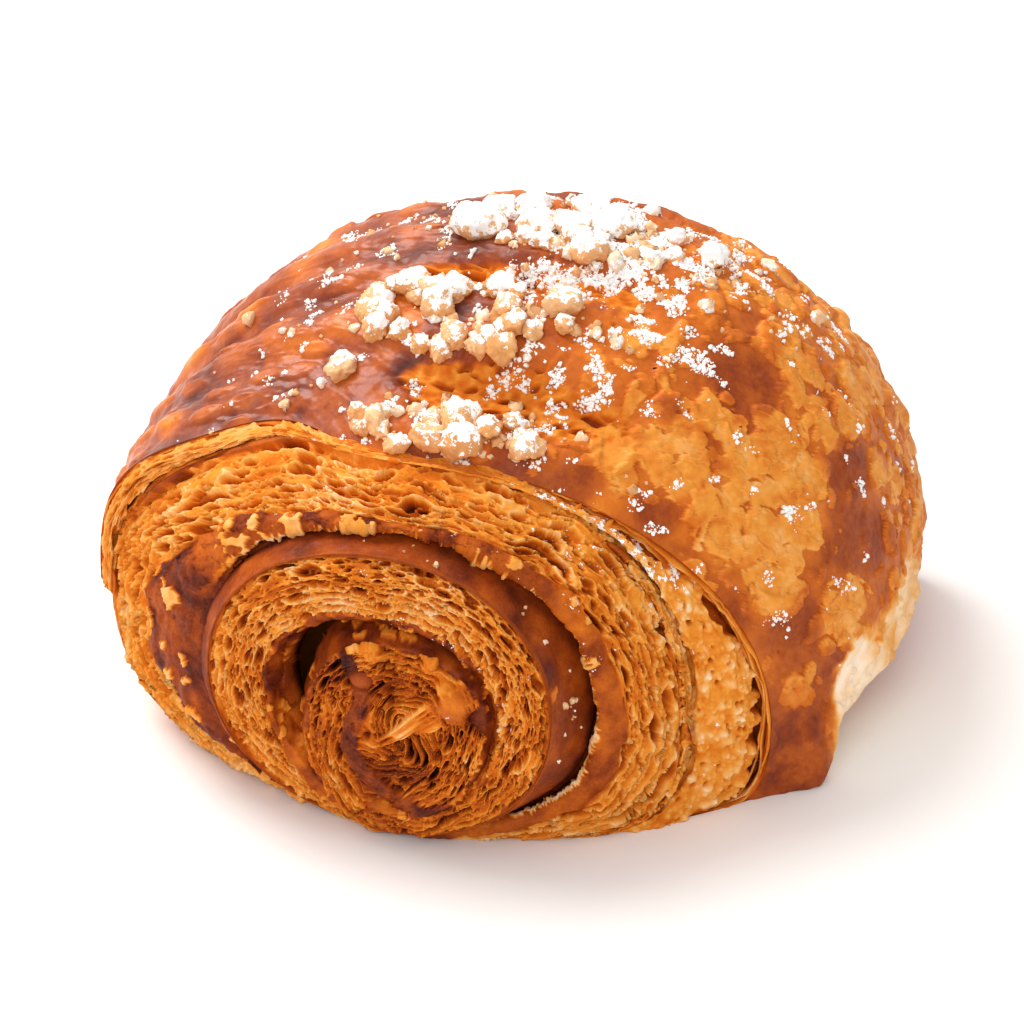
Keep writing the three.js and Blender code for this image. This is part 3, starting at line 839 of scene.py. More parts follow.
# the second turn: torn layers, then a cracked brown band with a pale, ragged edge over the gap
TURN_COLUMNS, TURN_ROWS = 724, 104
GAP_SHUT, GAP_OPEN = 0.3, 4.5
TURN_2_BAKED, BAND_BAKED, TAN_FLAKE_BAKED, GAP_PAINTED_SHADE = 0.515, 0.74, 0.35, 0.86
CORD_BAKED, TORN_CORD_BAKED, CREASE_BAKED, FRINGE_BAKED = 0.74, 0.60, 0.60, 0.20

wind_line = np.interp(np.linspace(0, 1, TURN_COLUMNS), [0, 0.07, 0.94, 1], [0.74, 0.86, 1.62, 1.74])
gap = GAP_SHUT + GAP_OPEN * between(wind_line, 1.2, 1.5, 0.05)
grid, across, wind, face, run, place = turn_grid(wind_line, TURN_ROWS, 0.6, gap)
width = sheet_width(wind) * by_quarter(FOOT, wind + 1)
height, tone = torn_layers(200, run, across * width, 1.9, 7.0, shut=0.3)
deepest = -0.5 - 2.5 * smooth_step(across * width, 0.2, 1.8)
height = np.maximum(height, deepest) + 0.6 * rough(232, 6, 2, *place)
right_side = between(wind, 1.33, 1.75, 0.08)
tone = TURN_2_BAKED + 0.045 * right_side + 1.15 * tone + 0.10 * rough(233, 6, 4, *place)
tone += 0.08 * between(wind, 0.76, 1.16, 0.05)
rim_line = clouds(234, 1.0, run / 4, run * 0)
has_cord = smooth_step(wind, 1.02, 1.1)
cord_width = mix(0.9, -0.9, smooth_step(wind, 1.25, 1.4)) + 0.3 * rim_line
cord = fading(across * width, cord_width, cord_width + 0.5) * has_cord
crease = between(across * width, 1.3, 2.1, 0.3) * has_cord * fading(wind, 1.25, 1.4)
fibre = clouds(237, 1.0, run / 3, across * width / 0.3)
height = mix(height, 0.35 + 0.15 * rough(235, 2, 3, *place) + 0.12 * fibre, cord) - 0.8 * crease
cord_tone = mix(CORD_BAKED, TORN_CORD_BAKED, smooth_step(wind, 1.1, 1.25))
cord_tone = cord_tone + 0.07 * rough(236, 3, 3, *place) - 0.05 * fibre
tone = mix(mix(tone, CREASE_BAKED, crease * 0.5), cord_tone, cord)
band_edge = by_quarter(BAND_FROM, wind) + 0.05 * rough(241, 1.0, 3, run / 6, run * 0)
band = smooth_step(across, band_edge - 0.015, band_edge + 0.02)
teeth = np.abs(clouds(243, 1.0, run / 0.55, run * 0))
teeth = teeth + 0.6 * np.abs(clouds(244, 1.0, run / 0.22, run * 0))
torn = 0.92 + 0.02 * clouds(245, 1.0, run / 4, run * 0) + 0.035 * teeth
has_gap = between(wind, 1.1, 1.66, 0.05)
fringe = between(across, torn - 0.05, torn, 0.008) * has_gap
beyond = smooth_step(across, torn - 0.002, torn + 0.008) * has_gap
arch = np.sin(np.pi * np.clip((across - band_edge) / (torn - band_edge), 0, 1))
scale_run = run / 4.5 + 0.35 * rough(246, 1.5, 3, *place)
scale_across = across * width / 2.2 + 0.3 * rough(247, 1.5, 3, *place)
_, crack, scale_own = bubbles(248, scale_run, scale_across)
scaly = between(wind, 1.02, 1.35, 0.06)
crack = fading(crack, 0.0, 0.05) * scaly * (scale_own > 0.4)
band_relief = 0.2 + 0.6 * arch + 0.4 * rough(249, 4, 4, *place)
band_relief = band_relief + 0.5 * (scale_own - 0.5) * scaly - 0.3 * crack
# the cracks are painted darker, as painted shade
band_tone = BAND_BAKED - 0.025 * right_side + 0.09 * fading(wind, 1.0, 1.15) + 0.06 * crack
band_tone += 0.12 * (scale_own - 0.5) * scaly + 0.15 * rough(250, 4, 4, *place)
band_relief += 0.25 * rough(256, 1.2, 2, *place)
tan_flake = flakes(270, 4.0, 0.10, place) * between(wind, 0.92, 1.36, 0.03) + flakes(264, 1.8, 0.06, place)
tan_flake = np.clip(tan_flake, 0, 1)
band_tone = mix(band_tone, TAN_FLAKE_BAKED + 0.08 * rough(268, 1.5, 2, *place), tan_flake)
band_relief += 0.45 * tan_flake
height = mix(height, band_relief, band)
tone = mix(tone, band_tone, band)
tone = mix(tone, FRINGE_BAKED + 0.20 * clouds(251, 1.0, run / 0.5, across * 60), fringe * band)
# beyond the torn edge the gap behind the band is sunk and painted near black, as painted shade
height = mix(height, -1.2, beyond)
tone = mix(tone, GAP_PAINTED_SHADE, beyond)
strands = rough(255, 1.0, 2, run / 5, across * 9) + 0.5 * clouds(259, 1.0, run / 1.5, across * 22)
skin_relief, skin_tone = torn_layers(280, run, across * 5, 1.0, 5.0)
skin_relief = np.clip(0.7 * skin_relief + 0.2 * strands, -0.45, 0.6)
skin_relief = mix(0.35 * strands, skin_relief, right_side) * smooth_step(across, -1, -0.8)
height = np.where(face, height, skin_relief * fading(across, -0.06, 0))
skin_tone = mix(0.60 - 0.09 * strands, 0.54 + skin_tone - 0.05 * strands, right_side)
tone = np.where(across < 0, skin_tone + 0.08 * rough(252, 4, 4, *place), tone)
dry = np.where(across < 0, 0.5, mix(0.95, 0.55, np.maximum(cord, band * (1 - fringe))))
dusting = np.where(face, 0.25 + 0.09 * between(wind, 1.3, 1.46, 0.04) + 0.05 * clouds(253, 3, *place), 0)
add_crumb("turn_2", grid, height, bake=tone, dry=dry, sugar=dusting)

# the third turn: a glossy red-brown skin like a cone, and finer, darker layers of long bubbles
TURN_3_BAKED, SKIN_BAKED, SKIN_SPOT_BAKED = 0.59, 0.79, 0.52

wind_line = np.interp(np.linspace(0, 1, TURN_COLUMNS), [0, 0.06, 0.96, 1], [1.74, 1.84, 2.74, 2.79])
gap_before = GAP_SHUT + GAP_OPEN * between(wind_line, 2.2, 2.5, 0.05)
grid, across, wind, face, run, place = turn_grid(wind_line, TURN_ROWS, gap_before, GAP_SHUT)
width = sheet_width(wind) * by_quarter(FOOT, wind + 1)
height, tone = torn_layers(300, run, across * width, 1.3, 4.2, shut=0.22)
height = 0.8 * height + 0.4 * rough(332, 5, 2, *place)
tone = TURN_3_BAKED + 1.2 * tone + 0.10 * rough(333, 5, 4, *place) + 0.19 * smooth_step(wind, 2.45, 2.75)
cord = fading(across * width, 0.35, 0.7)
height = mix(height, 0.25, cord)
tone = mix(tone, CORD_BAKED, cord)
band_edge = by_quarter(BAND_FROM, wind) + 0.04 * rough(341, 1.0, 3, run / 5, run * 0)
band = smooth_step(across, band_edge - 0.02, band_edge + 0.03)
small_flakes = flakes(360, 1.7, 0.10, place)
height = mix(height, 0.15 + 0.5 * rough(345, 2.5, 4, *place) + 0.4 * small_flakes, band)
band_tone = mix(0.70, 0.80, between(wind, 1.95, 2.5, 0.08)) + 0.14 * rough(346, 2.5, 4, *place)
band_tone = mix(band_tone, 0.47, small_flakes)
tone = mix(tone, band_tone, band)
skin_near, _, skin_own = bubbles(351, *(axis / 4.5 + 0.2 * rough(352, 1.5, 3, *place) for axis in place))
spots = fading(skin_near, 0.3, 0.36) * (skin_own > 0.7) * smooth_step(wind, 2.4, 2.46)
skin_tone = SKIN_BAKED + 0.08 * rough(348, 4, 4, *place)
# the skin is painted darker towards its foot deep in the gap, as painted shade
skin_tone = mix(skin_tone, SKIN_SPOT_BAKED, spots) + 0.12 * fading(across, -1.0, -0.7)
skin_relief = (0.25 * rough(347, 3, 4, *place) + 0.35 * spots) * smooth_step(across, -0.95, -0.8)
skin_relief = skin_relief * fading(across, -0.12, 0)
height = np.where(face, height, skin_relief)
tone = np.where(across < 0, skin_tone, tone)
dry = np.where(across < 0, 0.2, mix(0.8, 0.4, np.maximum(band, cord)))
dusting = np.where(face, 0.24 + 0.07 * between(wind, 2.2, 2.55, 0.05) + 0.05 * clouds(349, 3, *place), 0.2)
add_crumb("turn_3", grid, height, bake=tone, dry=dry, sugar=dusting)
skin_top = grid[:, 1:SKIN_ROWS - 2]
skin_winds = wind_line

# ---- the bud in the middle -----------------------------------------------------------------------
# The start of the roll, pushed out furthest. Its layers curl round in a swirl, with a glazed bubble,
# small holes, a fan of yellow crumb and a hollow where the sheet folded over itself.

BUD_START, BUD_SEAM, BUD_DEPTH, BUD_FLARE, BUD_SWELL = 2.75, 0.07, 7, 0.16, 0.8
BULGE_AT, BULGE_WIDTH, BULGE_OUT = 0.15, 0.09, 2.0
BUD_MIDDLE = (-3.0, 17.5)
BUBBLE = (-7.9, 24.9, 1.75)
SMALL_HOLES = (
    (-4.0, 22.5, 0.5), (-5.4, 20.5, 0.65), (-7.4, 16.6, 0.5), (-4.4, 24.2, 0.8), (-5.6, 22.9, 0.35),
)
KNOB, HOLLOW = (4.2, 23.3, 2.6), (7.7, 21.3, 1.5)
LUMPS = ((6.2, 26.8, 1.2), (3.1, 25.6, 1.3), (1.1, 28.6, 1.2), (8.6, 24.6, 0.9), (-6.4, 29.4, 1.5))
SWIRL = (
    (-9.4, 27.5), (-7.4, 22.2), (-8.9, 18.6), (-9.6, 14.5),
    (-7.6, 10.2), (-4.5, 7.4), (1.0, 6.2), (5.5, 8.0),
)
SWIRL_WIDTH = 1.45
FAN_FROM, FAN_TO, FAN_SPREAD = (-5.6, 15.8), (1.8, 21.6), 0.17
BUD_COLUMNS, BUD_SKIN_ROWS, BUD_ROWS = 440, 16, 196
BUD_BAKED, SWIRL_BAKED, FAN_BAKED, BUBBLE_BAKED = 0.75, 0.86, 0.50, 0.72
KNOB_BAKED, LUMPS_BAKED, HOLLOW_PAINTED_SHADE, HOLE_PAINTED_SHADE = 0.60, 0.50, 0.90, 0.80


def bud_grid(turn, skin_rows, face_rows, back=False):
    """The bud as rings of points, from its buried skin over its rim to its middle.

    Returns the points and "out", which is 1 at the rim, more on the skin and 0 in the middle.
    """
    into = -1 if back else 1
    closing = smooth_step(turn, 1 - BUD_SEAM, 1)[..., None]
    edge = mix(rim(BUD_START + turn, back), rim(BUD_START + 0 * turn, back), closing)
    bulge = 0 if back else BULGE_OUT * hump(turn, BULGE_AT, BULGE_WIDTH)
    edge[:, 0] += np.cos(bearing(BUD_START + turn)) * bulge
    edge[:, 2] += np.sin(bearing(BUD_START + turn)) * bulge
    middle = np.array([BUD_MIDDLE[0], edge[:, 1].mean(), BUD_MIDDLE[1]])
    if back:
        middle[0] = middle[0] * BACK_NARROWING + BACK_SHIFT_X
    rows, out = [], []
    for share in np.linspace(0, 1, skin_rows, endpoint=False):
        row = mix(middle, edge, 1 + BUD_FLARE - BUD_FLARE * share)
        row[:, 1] += into * BUD_DEPTH * (1 - share)
        rows.append(row)
        out.append(2 - share)
    for share in np.linspace(1, 0.01, face_rows):
        row = mix(middle, edge, share)
        row[:, 1] -= into * BUD_SWELL * math.sin(math.pi * (1 - share) / 2)
        rows.append(row)
        out.append(share)
    return np.stack(rows), np.broadcast_to(np.array(out)[:, None], (len(rows), len(turn)))


turn_line = np.linspace(0, 1, BUD_COLUMNS, endpoint=False)
grid, out = bud_grid(turn_line, BUD_SKIN_ROWS, BUD_ROWS)
turn = np.broadcast_to(turn_line, out.shape)
place = x, y, z = np.moveaxis(grid, -1, 0)
face = out <= 1
radius = np.hypot(x - BUD_MIDDLE[0], z - BUD_MIDDLE[1])
edge_radius = np.broadcast_to(radius[out[:, 0] == 1], radius.shape)
angle = np.arctan2(z - BUD_MIDDLE[1], x - BUD_MIDDLE[0])
ragged = 0.25 * rough(401, 2.0, 3, x, z)


def spot(middle_x, middle_z, size, power=4):
    """A soft, ragged spot on the bud's face, 0 to 1."""
    away = np.hypot(x - middle_x, z - middle_z) / size + 0.3 * ragged
    return np.exp(-(away**power))


def away_from_path(points):
    """Millimetres from a bent line across the bud's face."""
    nearest = np.full(x.shape, 99.0)
    for (start_x, start_z), (stop_x, stop_z) in zip(points, points[1:]):
        run_x, run_z = stop_x - start_x, stop_z - start_z
        share = ((x - start_x) * run_x + (z - start_z) * run_z) / (run_x**2 + run_z**2)
        share = np.clip(share, 0, 1)
        nearest = np.minimum(nearest, np.hypot(x - start_x - share * run_x, z - start_z - share * run_z))
    return nearest


inwards = edge_radius - radius
height, tone = torn_layers(400, turn * 68, inwards, 1.25, 4.5, shut=0.15)
inner = smooth_step(inwards, 4.0, 6.5)
curl = radius + 1.6 * angle + 1.2 * clouds(402, 3.0, x, z)
inner_relief, inner_tone = torn_layers(430, angle * 4 + radius, curl, 1.0, 2.6, shut=0.35)
height = mix(height, inner_relief, inner) + 0.5 * rough(403, 3, 3, x, z)
tone = BUD_BAKED + 1.3 * mix(tone, inner_tone, inner) + 0.14 * rough(404, 4, 4, x, z)

low_part = smooth_step(-z, -14.5, -10.5) * inner
height -= 0.9 * low_part
tone += 0.13 * low_part
swirl = fading(away_from_path(SWIRL) + 0.6 * ragged, SWIRL_WIDTH * 0.6, SWIRL_WIDTH)
height = mix(height, 0.7 + 0.35 * rough(405, 1.6, 3, x, z), swirl * 0.85)
tone = mix(tone, SWIRL_BAKED + 0.10 * rough(406, 2.5, 3, x, z), swirl)

fan_run = (FAN_TO[0] - FAN_FROM[0], FAN_TO[1] - FAN_FROM[1])
fan_length = math.hypot(*fan_run)
forwards = ((x - FAN_FROM[0]) * fan_run[0] + (z - FAN_FROM[1]) * fan_run[1]) / fan_length
sideways = ((x - FAN_FROM[0]) * -fan_run[1] + (z - FAN_FROM[1]) * fan_run[0]) / fan_length
fan = between(forwards, 0, fan_length, 0.8)
fan *= fading(np.abs(sideways + 0.5 * ragged) - FAN_SPREAD * forwards, 0.2, 0.9)
streak = rough(407, 1.0, 2, sideways / (0.3 + 0.045 * forwards), forwards / 4)
height = mix(height, 0.1 + 0.8 * streak, fan)
tone = mix(tone, FAN_BAKED - 0.20 * streak, fan * smooth_step(streak, -0.9, -0.2))

bubble_away = np.hypot(x - BUBBLE[0], (z - BUBBLE[1]) * 1.15) / BUBBLE[2]
bubble = fading(bubble_away, 0.85, 1.0)
height = mix(height, 1.1 * np.sqrt(np.clip(1 - bubble_away**2, 0, 1)) - 0.5, bubble)
tone = mix(tone, BUBBLE_BAKED + 0.12 * bubble_away**2, bubble)
knob = spot(*KNOB)
height = mix(height, 1.6 * np.sqrt(knob) + 0.12 * rough(408, 1.5, 3, x, z), knob)
tone = mix(tone, KNOB_BAKED + 0.08 * rough(409, 2, 3, x, z), knob)
for lump_x, lump_z, size in LUMPS:
    lump = spot(lump_x, lump_z, size)
    height = mix(height, 1.3 + 0.5 * rough(410, 0.8, 3, x, z), lump)
    tone = mix(tone, LUMPS_BAKED + 0.06 * rough(411, 0.8, 2, x, z), lump)
# the hollow and the small holes are sunk and painted dark, as painted shade
pit = spot(*HOLLOW)
height -= 3.0 * pit
tone = mix(tone, HOLLOW_PAINTED_SHADE, pit)
for hole_x, hole_z, size in SMALL_HOLES:
    hole = spot(hole_x, hole_z, size)
    height -= 1.2 * hole
    tone = mix(tone, HOLE_PAINTED_SHADE, hole)

crisp = flakes(415, 1.7, 0.14, place) * smooth_step(out, 1.1, 1.2)
height = np.where(face, height, 0.35 * rough(412, 2.5, 4, x, y, z) + 0.4 * crisp)
tone = np.where(face, tone, mix(0.80 + 0.10 * rough(413, 2.5, 4, x, y, z), 0.5, crisp))
dry = np.where(face, 0.75 - 0.6 * np.maximum(np.maximum(swirl, bubble), knob), 0.3)
dusting = np.where(face, 0.27 + 0.05 * clouds(414, 3, x, z), 0)
add_crumb("bud", grid, height, bake=tone, dry=dry, sugar=dusting)

# ---- the leaves of the lip -----------------------------------------------------------------------
# Under the crust's edge the topmost layers of dough have parted into thin, ragged leaves, one over
# the other, which the oven crisped.

LEAF_THICKNESS, LEAF_COLUMNS, LEAVES_WIND = 0.3, 700, (0.02, 0.55)
LEAF_OUTLINE = ((0.5, 0.1), (0, 0), (-0.5, 0.1), (-0.5, 1.5), (-0.5, 3), (0.5, 3), (0.5, 1.5))
LIP_LEAVES = ((0.45, 0.3, 0.58), (0.95, 0.0, 0.46), (1.5, -0.4, 0.52))  # inwards, forwards and browning

wind_line = np.linspace(*LEAVES_WIND, LEAF_COLUMNS)
edge = rim(wind_line)
run = arc_length(wind_line)
heading = np.stack([np.cos(bearing(wind_line)), 0 * wind_line, np.sin(bearing(wind_line))], -1)
for number, (inset, forwards, browning) in enumerate(LIP_LEAVES):
    sway = 0.3 * clouds(601 + number, 1.0, run / 6) + 0.08 * clouds(611 + number, 1.0, run / 1.5)
    ragged = 0.5 * clouds(621 + number, 1.0, run / 4) + 0.25 * clouds(631 + number, 1.0, run / 0.9)
    middle = edge - heading * (inset + sway)[:, None]
    loops = []
    for outwards, behind in LEAF_OUTLINE:
        point = middle + heading * outwards * LEAF_THICKNESS
        point[:, 1] += behind - forwards - ragged * (behind < 0.5)
        loops.append(point)
    loops = np.stack(loops, 1)
    tone = browning + 0.10 * clouds(641 + number, 1.0, run / 2.5)
    tone = tone[:, None] - 0.12 * np.array([0.5, 1, 0.5, 0, 0, 0, 0])
    add_tube(f"lip_leaf_{number + 1}", loops, crumb_finish, "layered_crumb", bake=tone, dry=0.8, sugar=0.0)

# ---- the far end ---------------------------------------------------------------------------------
# The other end of the roll, which pushed out less. Its turns show as a plainer spiral of the same
# torn layers, from the crust to its own small bud.

FAR_COLUMNS, FAR_ROWS, FAR_BUD_COLUMNS, FAR_BUD_ROWS = 640, 64, 220, 70
FAR_BAKED, FAR_SKIN_BAKED, FAR_CORD_BAKED = 0.46, 0.72, 0.66
FAR_BUD_BAKED, FAR_BUD_SKIN_BAKED = 0.55, 0.8

wind_line = np.linspace(0, 2.77, FAR_COLUMNS)
grid, across, wind, face, run, place = turn_grid(wind_line, FAR_ROWS, 0.5, 0.8, back=True)
width = np.maximum(sheet_width(wind, back=True), 3)
height, tone = torn_layers(500, run, across * width, 1.7, 6.0)
tone = FAR_BAKED + tone + 0.08 * rough(502, 6, 3, *place) + 0.05 * wind
cord = fading(across, 0.04, 0.08)
tone = np.where(across < 0, FAR_SKIN_BAKED, mix(tone, FAR_CORD_BAKED, cord))
height = 0.85 * np.clip(height, -1.4, 1.2) * smooth_step(across, 0.05, 0.4)
over_the_top = between(wind, 0.1, 0.45, 0.05) * fading(across, 0.3, 0.6)
height = mix(height, np.clip(height, -0.7, 0), over_the_top)
height = np.where(face, mix(height, 0.2, cord), 0)
dry = np.where(face, 0.85, 0.3)
add_crumb("far_turns", grid, height, bake=tone, dry=dry, sugar=0.0)

turn_line = np.linspace(0, 1, FAR_BUD_COLUMNS, endpoint=False)
grid, out = bud_grid(turn_line, 8, FAR_BUD_ROWS, back=True)
turn = np.broadcast_to(turn_line, out.shape)
place = x, y, z = np.moveaxis(grid, -1, 0)
radius = np.hypot(x - BUD_MIDDLE[0] * BACK_NARROWING - BACK_SHIFT_X, z - BUD_MIDDLE[1])
height, tone = torn_layers(520, turn * 60, radius + 2.5 * turn, 1.5, 4.0)
tone = np.where(out <= 1, FAR_BUD_BAKED + tone, FAR_BUD_SKIN_BAKED)
height = np.where(out <= 1, 0.8 * height, 0)
add_crumb("far_bud", grid, height, bake=tone, dry=0.7, sugar=0.0)

# ---- the crumble ---------------------------------------------------------------------------------
# Lumps of pale, sandy crumble in three groups on the ridges between the slashes, each lump rough and
# grainy, with icing sugar lying thickest on top of it.

CRUMBLE = (
    (0.252, -0.9, 0.05, 0.075, 18, 1.4, 2.6),
    (0.225, -0.52, 0.05, 0.14, 26, 1.5, 3.0),
    (0.25, 0.06, 0.055, 0.22, 30, 1.5, 3.3),
)  # wind, along, their spreads, number of lumps, smallest and largest radius
BIG_LUMPS = (
    (0.272, -0.94, 3.2), (0.182, -0.785, 2.4), (0.193, -0.42, 3.0),
    (0.186, -0.56, 2.9), (0.203, -0.03, 3.9), (0.207, 0.17, 2.6),
)
LUMP_FLATNESS, LUMP_SUNK, LUMP_ROUGHNESS = 0.8, 0.25, 0.2
LUMP_FINENESS, LUMP_FACETS, LUMP_GRAIN, LUMP_BAKED = 4, 10, 0.65, 0.26


def wave_chance(seed):
    """The scatter that the groups are laid out by."""
    wave = math.sin(seed * 12.9898 + 4.1414) * 43758.5453
    return wave - math.floor(wave)


def crumble_lumps():
    """Each lump's wind, along and radius: the big ones first, then group by group."""
    lumps = list(BIG_LUMPS)
    seed = 1
    for wind, along, wind_spread, along_spread, count, small, large in CRUMBLE:
        for _ in range(count):
            turn, reach = 2 * math.pi * wave_chance(seed), math.sqrt(wave_chance(seed + 1))
            lumps.append((
                wind + wind_spread * reach * math.cos(turn),
                max(along + along_spread * reach * math.sin(turn), -0.99),
                small + (large - small) * wave_chance(seed + 2) ** 2,
            ))
            seed += 3
    return lumps


ball = bmesh.new()
bmesh.ops.create_icosphere(ball, subdivisions=LUMP_FINENESS, radius=1)
ball_points = np.array([corner.co for corner in ball.verts])
ball_faces = np.array([[corner.index for corner in side.verts] for side in ball.faces])
ball.free()

lump_points, lump_faces, lump_tones, lump_sugars = [], [], [], []
for number, (lump_wind, lump_along, lump_radius) in enumerate(crumble_lumps()):
    row = np.abs(crust_alongs - lump_along).argmin()
    column = np.abs(crust_winds - lump_wind).argmin()
    up = Vector(crust_facing[row, column])
    own = [axis * lump_radius + 50 * number for axis in ball_points.T]
    size = 0.97 + LUMP_ROUGHNESS * rough(701, lump_radius * 0.9, 2, *own)
    for facet in range(LUMP_FACETS):
        height = 2 * wave_chance(number + 0.11 * facet) - 1
        turn = math.tau * wave_chance(number + 0.13 * facet)
        flat = math.sqrt(1 - height**2)
        facing = ball_points @ np.array([flat * math.cos(turn), flat * math.sin(turn), height])
        size = np.minimum(size, 0.72 / np.maximum(facing, 0.1))
    grain_near, _, grain_own = bubbles(702, *(axis / LUMP_GRAIN for axis in own))
    grain = fading(grain_near, 0, 0.75) * grain_own
    shape = lump_radius * size + 0.42 * (grain - 0.3) + 0.25 * rough(703, 1.0, 3, *own)
    shape = ball_points * shape[:, None]
    shape[:, 2] *= LUMP_FLATNESS
    spin = Matrix.Rotation(2 * math.pi * wave_chance(number + 0.5), 3, "Z")
    turned = np.array(up.to_track_quat("Z", "Y").to_matrix() @ spin)
    rise = lump_radius * (LUMP_FLATNESS - 2 * LUMP_SUNK)
    shape = shape @ turned.T + crust_top[row, column] + np.array(up) * rise
    lump_faces.append(ball_faces + len(ball_points) * number)
    lump_points.append(shape)
    on_top = (ball_points @ turned.T)[:, 2]
    # each lump's tone differs at random; it is also painted lighter on its raised grains, a painted
    # highlight, and darker on its underside, painted shade
    lump_tone = LUMP_BAKED + 0.20 * wave_chance(number + 0.7) - 0.24 * (grain - 0.3)
    lump_tones.append(lump_tone + 0.2 * (1 - on_top) / 2)
    near_top = math.exp(-(((lump_along - 0.05) / 0.35) ** 2))
    lump_sugar = 0.30 + 0.16 * wave_chance(number + 0.9) + 0.14 * near_top
    lump_sugars.append(lump_sugar + 0.22 * np.clip(on_top, -1, 1))
lump_points, lump_faces = np.concatenate(lump_points), np.concatenate(lump_faces)
crumble_mesh = bpy.data.meshes.new("crumble")
crumble_mesh.from_pydata((lump_points * MM).tolist(), [], lump_faces.tolist())
crumble_mesh.polygons.foreach_set("use_smooth", np.ones(len(lump_faces), bool))
for mark, values in (("bake", lump_tones), ("sugar", lump_sugars), ("dry", [np.ones(len(lump_points))])):
    values = np.concatenate(values).astype(np.float32)
    crumble_mesh.attributes.new(mark, "FLOAT", "POINT").data.foreach_set("value", values)
CRUMBLE_BROWNING = (
    (0.0, paint(255, 242, 226)),
    (0.3, paint(241, 199, 152)),
    (0.55, paint(218, 152, 92)),
    (1.0, paint(150, 84, 42)),
)
crumble_finish = baked_finish("crumble", 1.8, 0.3, 0.2, 0.0, 0.08, CRUMBLE_BROWNING)
add_piece("crumble", crumble_mesh, crumble_finish)

# ---- crumbs and icing sugar ----------------------------------------------------------------------
# Small crumbs fell round the lumps and into the gap between the turns, and icing sugar was shaken
# over the top, where it lies in flecks and clots.


def laid_on(points, density, step):
    """An open sheet through a grid of points, marked with how densely things lie on it."""
    points, density = points[::step, ::step], density[::step, ::step]
    length, count = points.shape[:2]
    index = np.arange(length * count).reshape(length, count)
    quads = np.stack([index[:-1, :-1], index[:-1, 1:], index[1:, 1:], index[1:, :-1]], -1).reshape(-1, 4)
    sheet = bpy.data.meshes.new("ground")
    sheet.from_pydata((points.reshape(-1, 3) * MM).tolist(), [], quads.tolist())
    sheet.attributes.new("density", "FLOAT", "POINT").data.foreach_set(
        "value", density.ravel().astype(np.float32)
    )
    return sheet


def scattered(name, ground, settings, material):
    """Irregular grains strewn over a ground by its density, made into one plain mesh."""
    tree = bpy.data.node_groups.new(name, "GeometryNodeTree")
    nodes = Nodes(tree)
    sockets = tree.interface
    sockets.new_socket("Ground", in_out="INPUT", socket_type="NodeSocketGeometry")
    for label in ("Per Square Millimetre", "Smallest", "Largest"):
        sockets.new_socket(label, in_out="INPUT", socket_type="NodeSocketFloat")
    for label in ("Fineness", "Seed"):
        sockets.new_socket(label, in_out="INPUT", socket_type="NodeSocketInt")
    sockets.new_socket("Grains", in_out="OUTPUT", socket_type="NodeSocketGeometry")
    given = tree.nodes.new("NodeGroupInput")
    given = {socket.name: Value(nodes, socket) for socket in given.outputs if socket.name}

    mark = nodes.add("GeometryNodeInputNamedAttribute", {"data_type": "FLOAT"}, {"Name": "density"})
    points = nodes.add("GeometryNodeDistributePointsOnFaces", None, {
        "Mesh": given["Ground"],
        "Density": mark * given["Per Square Millimetre"] * (1 / MM**2),
        "Seed": given["Seed"],
    })
    grain = {"Radius": 1.0, "Subdivisions": given["Fineness"]}
    grain = nodes.add("GeometryNodeMeshIcoSphere", None, grain)
    dents = nodes.add("ShaderNodeTexNoise", None, {"Scale": 0.9, "Detail": 1.0}, output="Color")
    dents = nodes.add("ShaderNodeVectorMath", {"operation": "SUBTRACT"}, {0: dents, 1: (0.5, 0.5, 0.5)})
    dents = nodes.add("ShaderNodeVectorMath", {"operation": "SCALE"}, {0: dents, "Scale": 2.2})
    grain = nodes.add("GeometryNodeSetPosition", None, {"Geometry": grain, "Offset": dents})
    grain = nodes.add("GeometryNodeSetShadeSmooth", None, {0: grain, "Shade Smooth": True})
    one = nodes.add("FunctionNodeRandomValue", {"data_type": "FLOAT"}, {"Seed": 1}, output=1)
    size = given["Smallest"] + (given["Largest"] - given["Smallest"]) * one * one * one
    around = {0: (0, 0, 0), 1: (math.tau, math.tau, math.tau), "Seed": 2}
    spin = nodes.add("FunctionNodeRandomValue", {"data_type": "FLOAT_VECTOR"}, around, output=0)
    strewn = nodes.add("GeometryNodeInstanceOnPoints", None, {
        "Points": points, "Instance": grain, "Rotation": spin, "Scale": size * MM,
    })
    palest_to_darkest = {2: 0.12, 3: 0.5, "Seed": 3}
    paleness = nodes.add("FunctionNodeRandomValue", {"data_type": "FLOAT"}, palest_to_darkest, output=1)
    for mark_name, value in (("bake", paleness), ("sugar", 0.6 - paleness * 0.6)):
        settings_of_mark = {"data_type": "FLOAT", "domain": "INSTANCE"}
        marked = {"Geometry": strewn, "Name": mark_name, "Value": value}
        strewn = nodes.add("GeometryNodeStoreNamedAttribute", settings_of_mark, marked)
    strewn = nodes.add("GeometryNodeRealizeInstances", None, {"Geometry": strewn})
    strewn = nodes.add("GeometryNodeSetMaterial", None, {"Geometry": strewn, "Material": material})
    nodes.add("NodeGroupOutput", None, {"Grains": strewn})

    holder = bpy.data.objects.new(name, ground)
    bpy.context.scene.collection.objects.link(holder)
    strewing = holder.modifiers.new("strewing", "NODES")
    strewing.node_group = tree
    for socket in sockets.items_tree:
        if socket.name in settings:
            strewing[socket.identifier] = settings[socket.name]
    shown = holder.evaluated_get(bpy.context.evaluated_depsgraph_get())
    mesh = bpy.data.meshes.new_from_object(shown)
    holder.modifiers.clear()
    bpy.data.objects.remove(holder)
    bpy.data.meshes.remove(ground)
    mesh.name = name
    return add_piece(name, mesh, material)


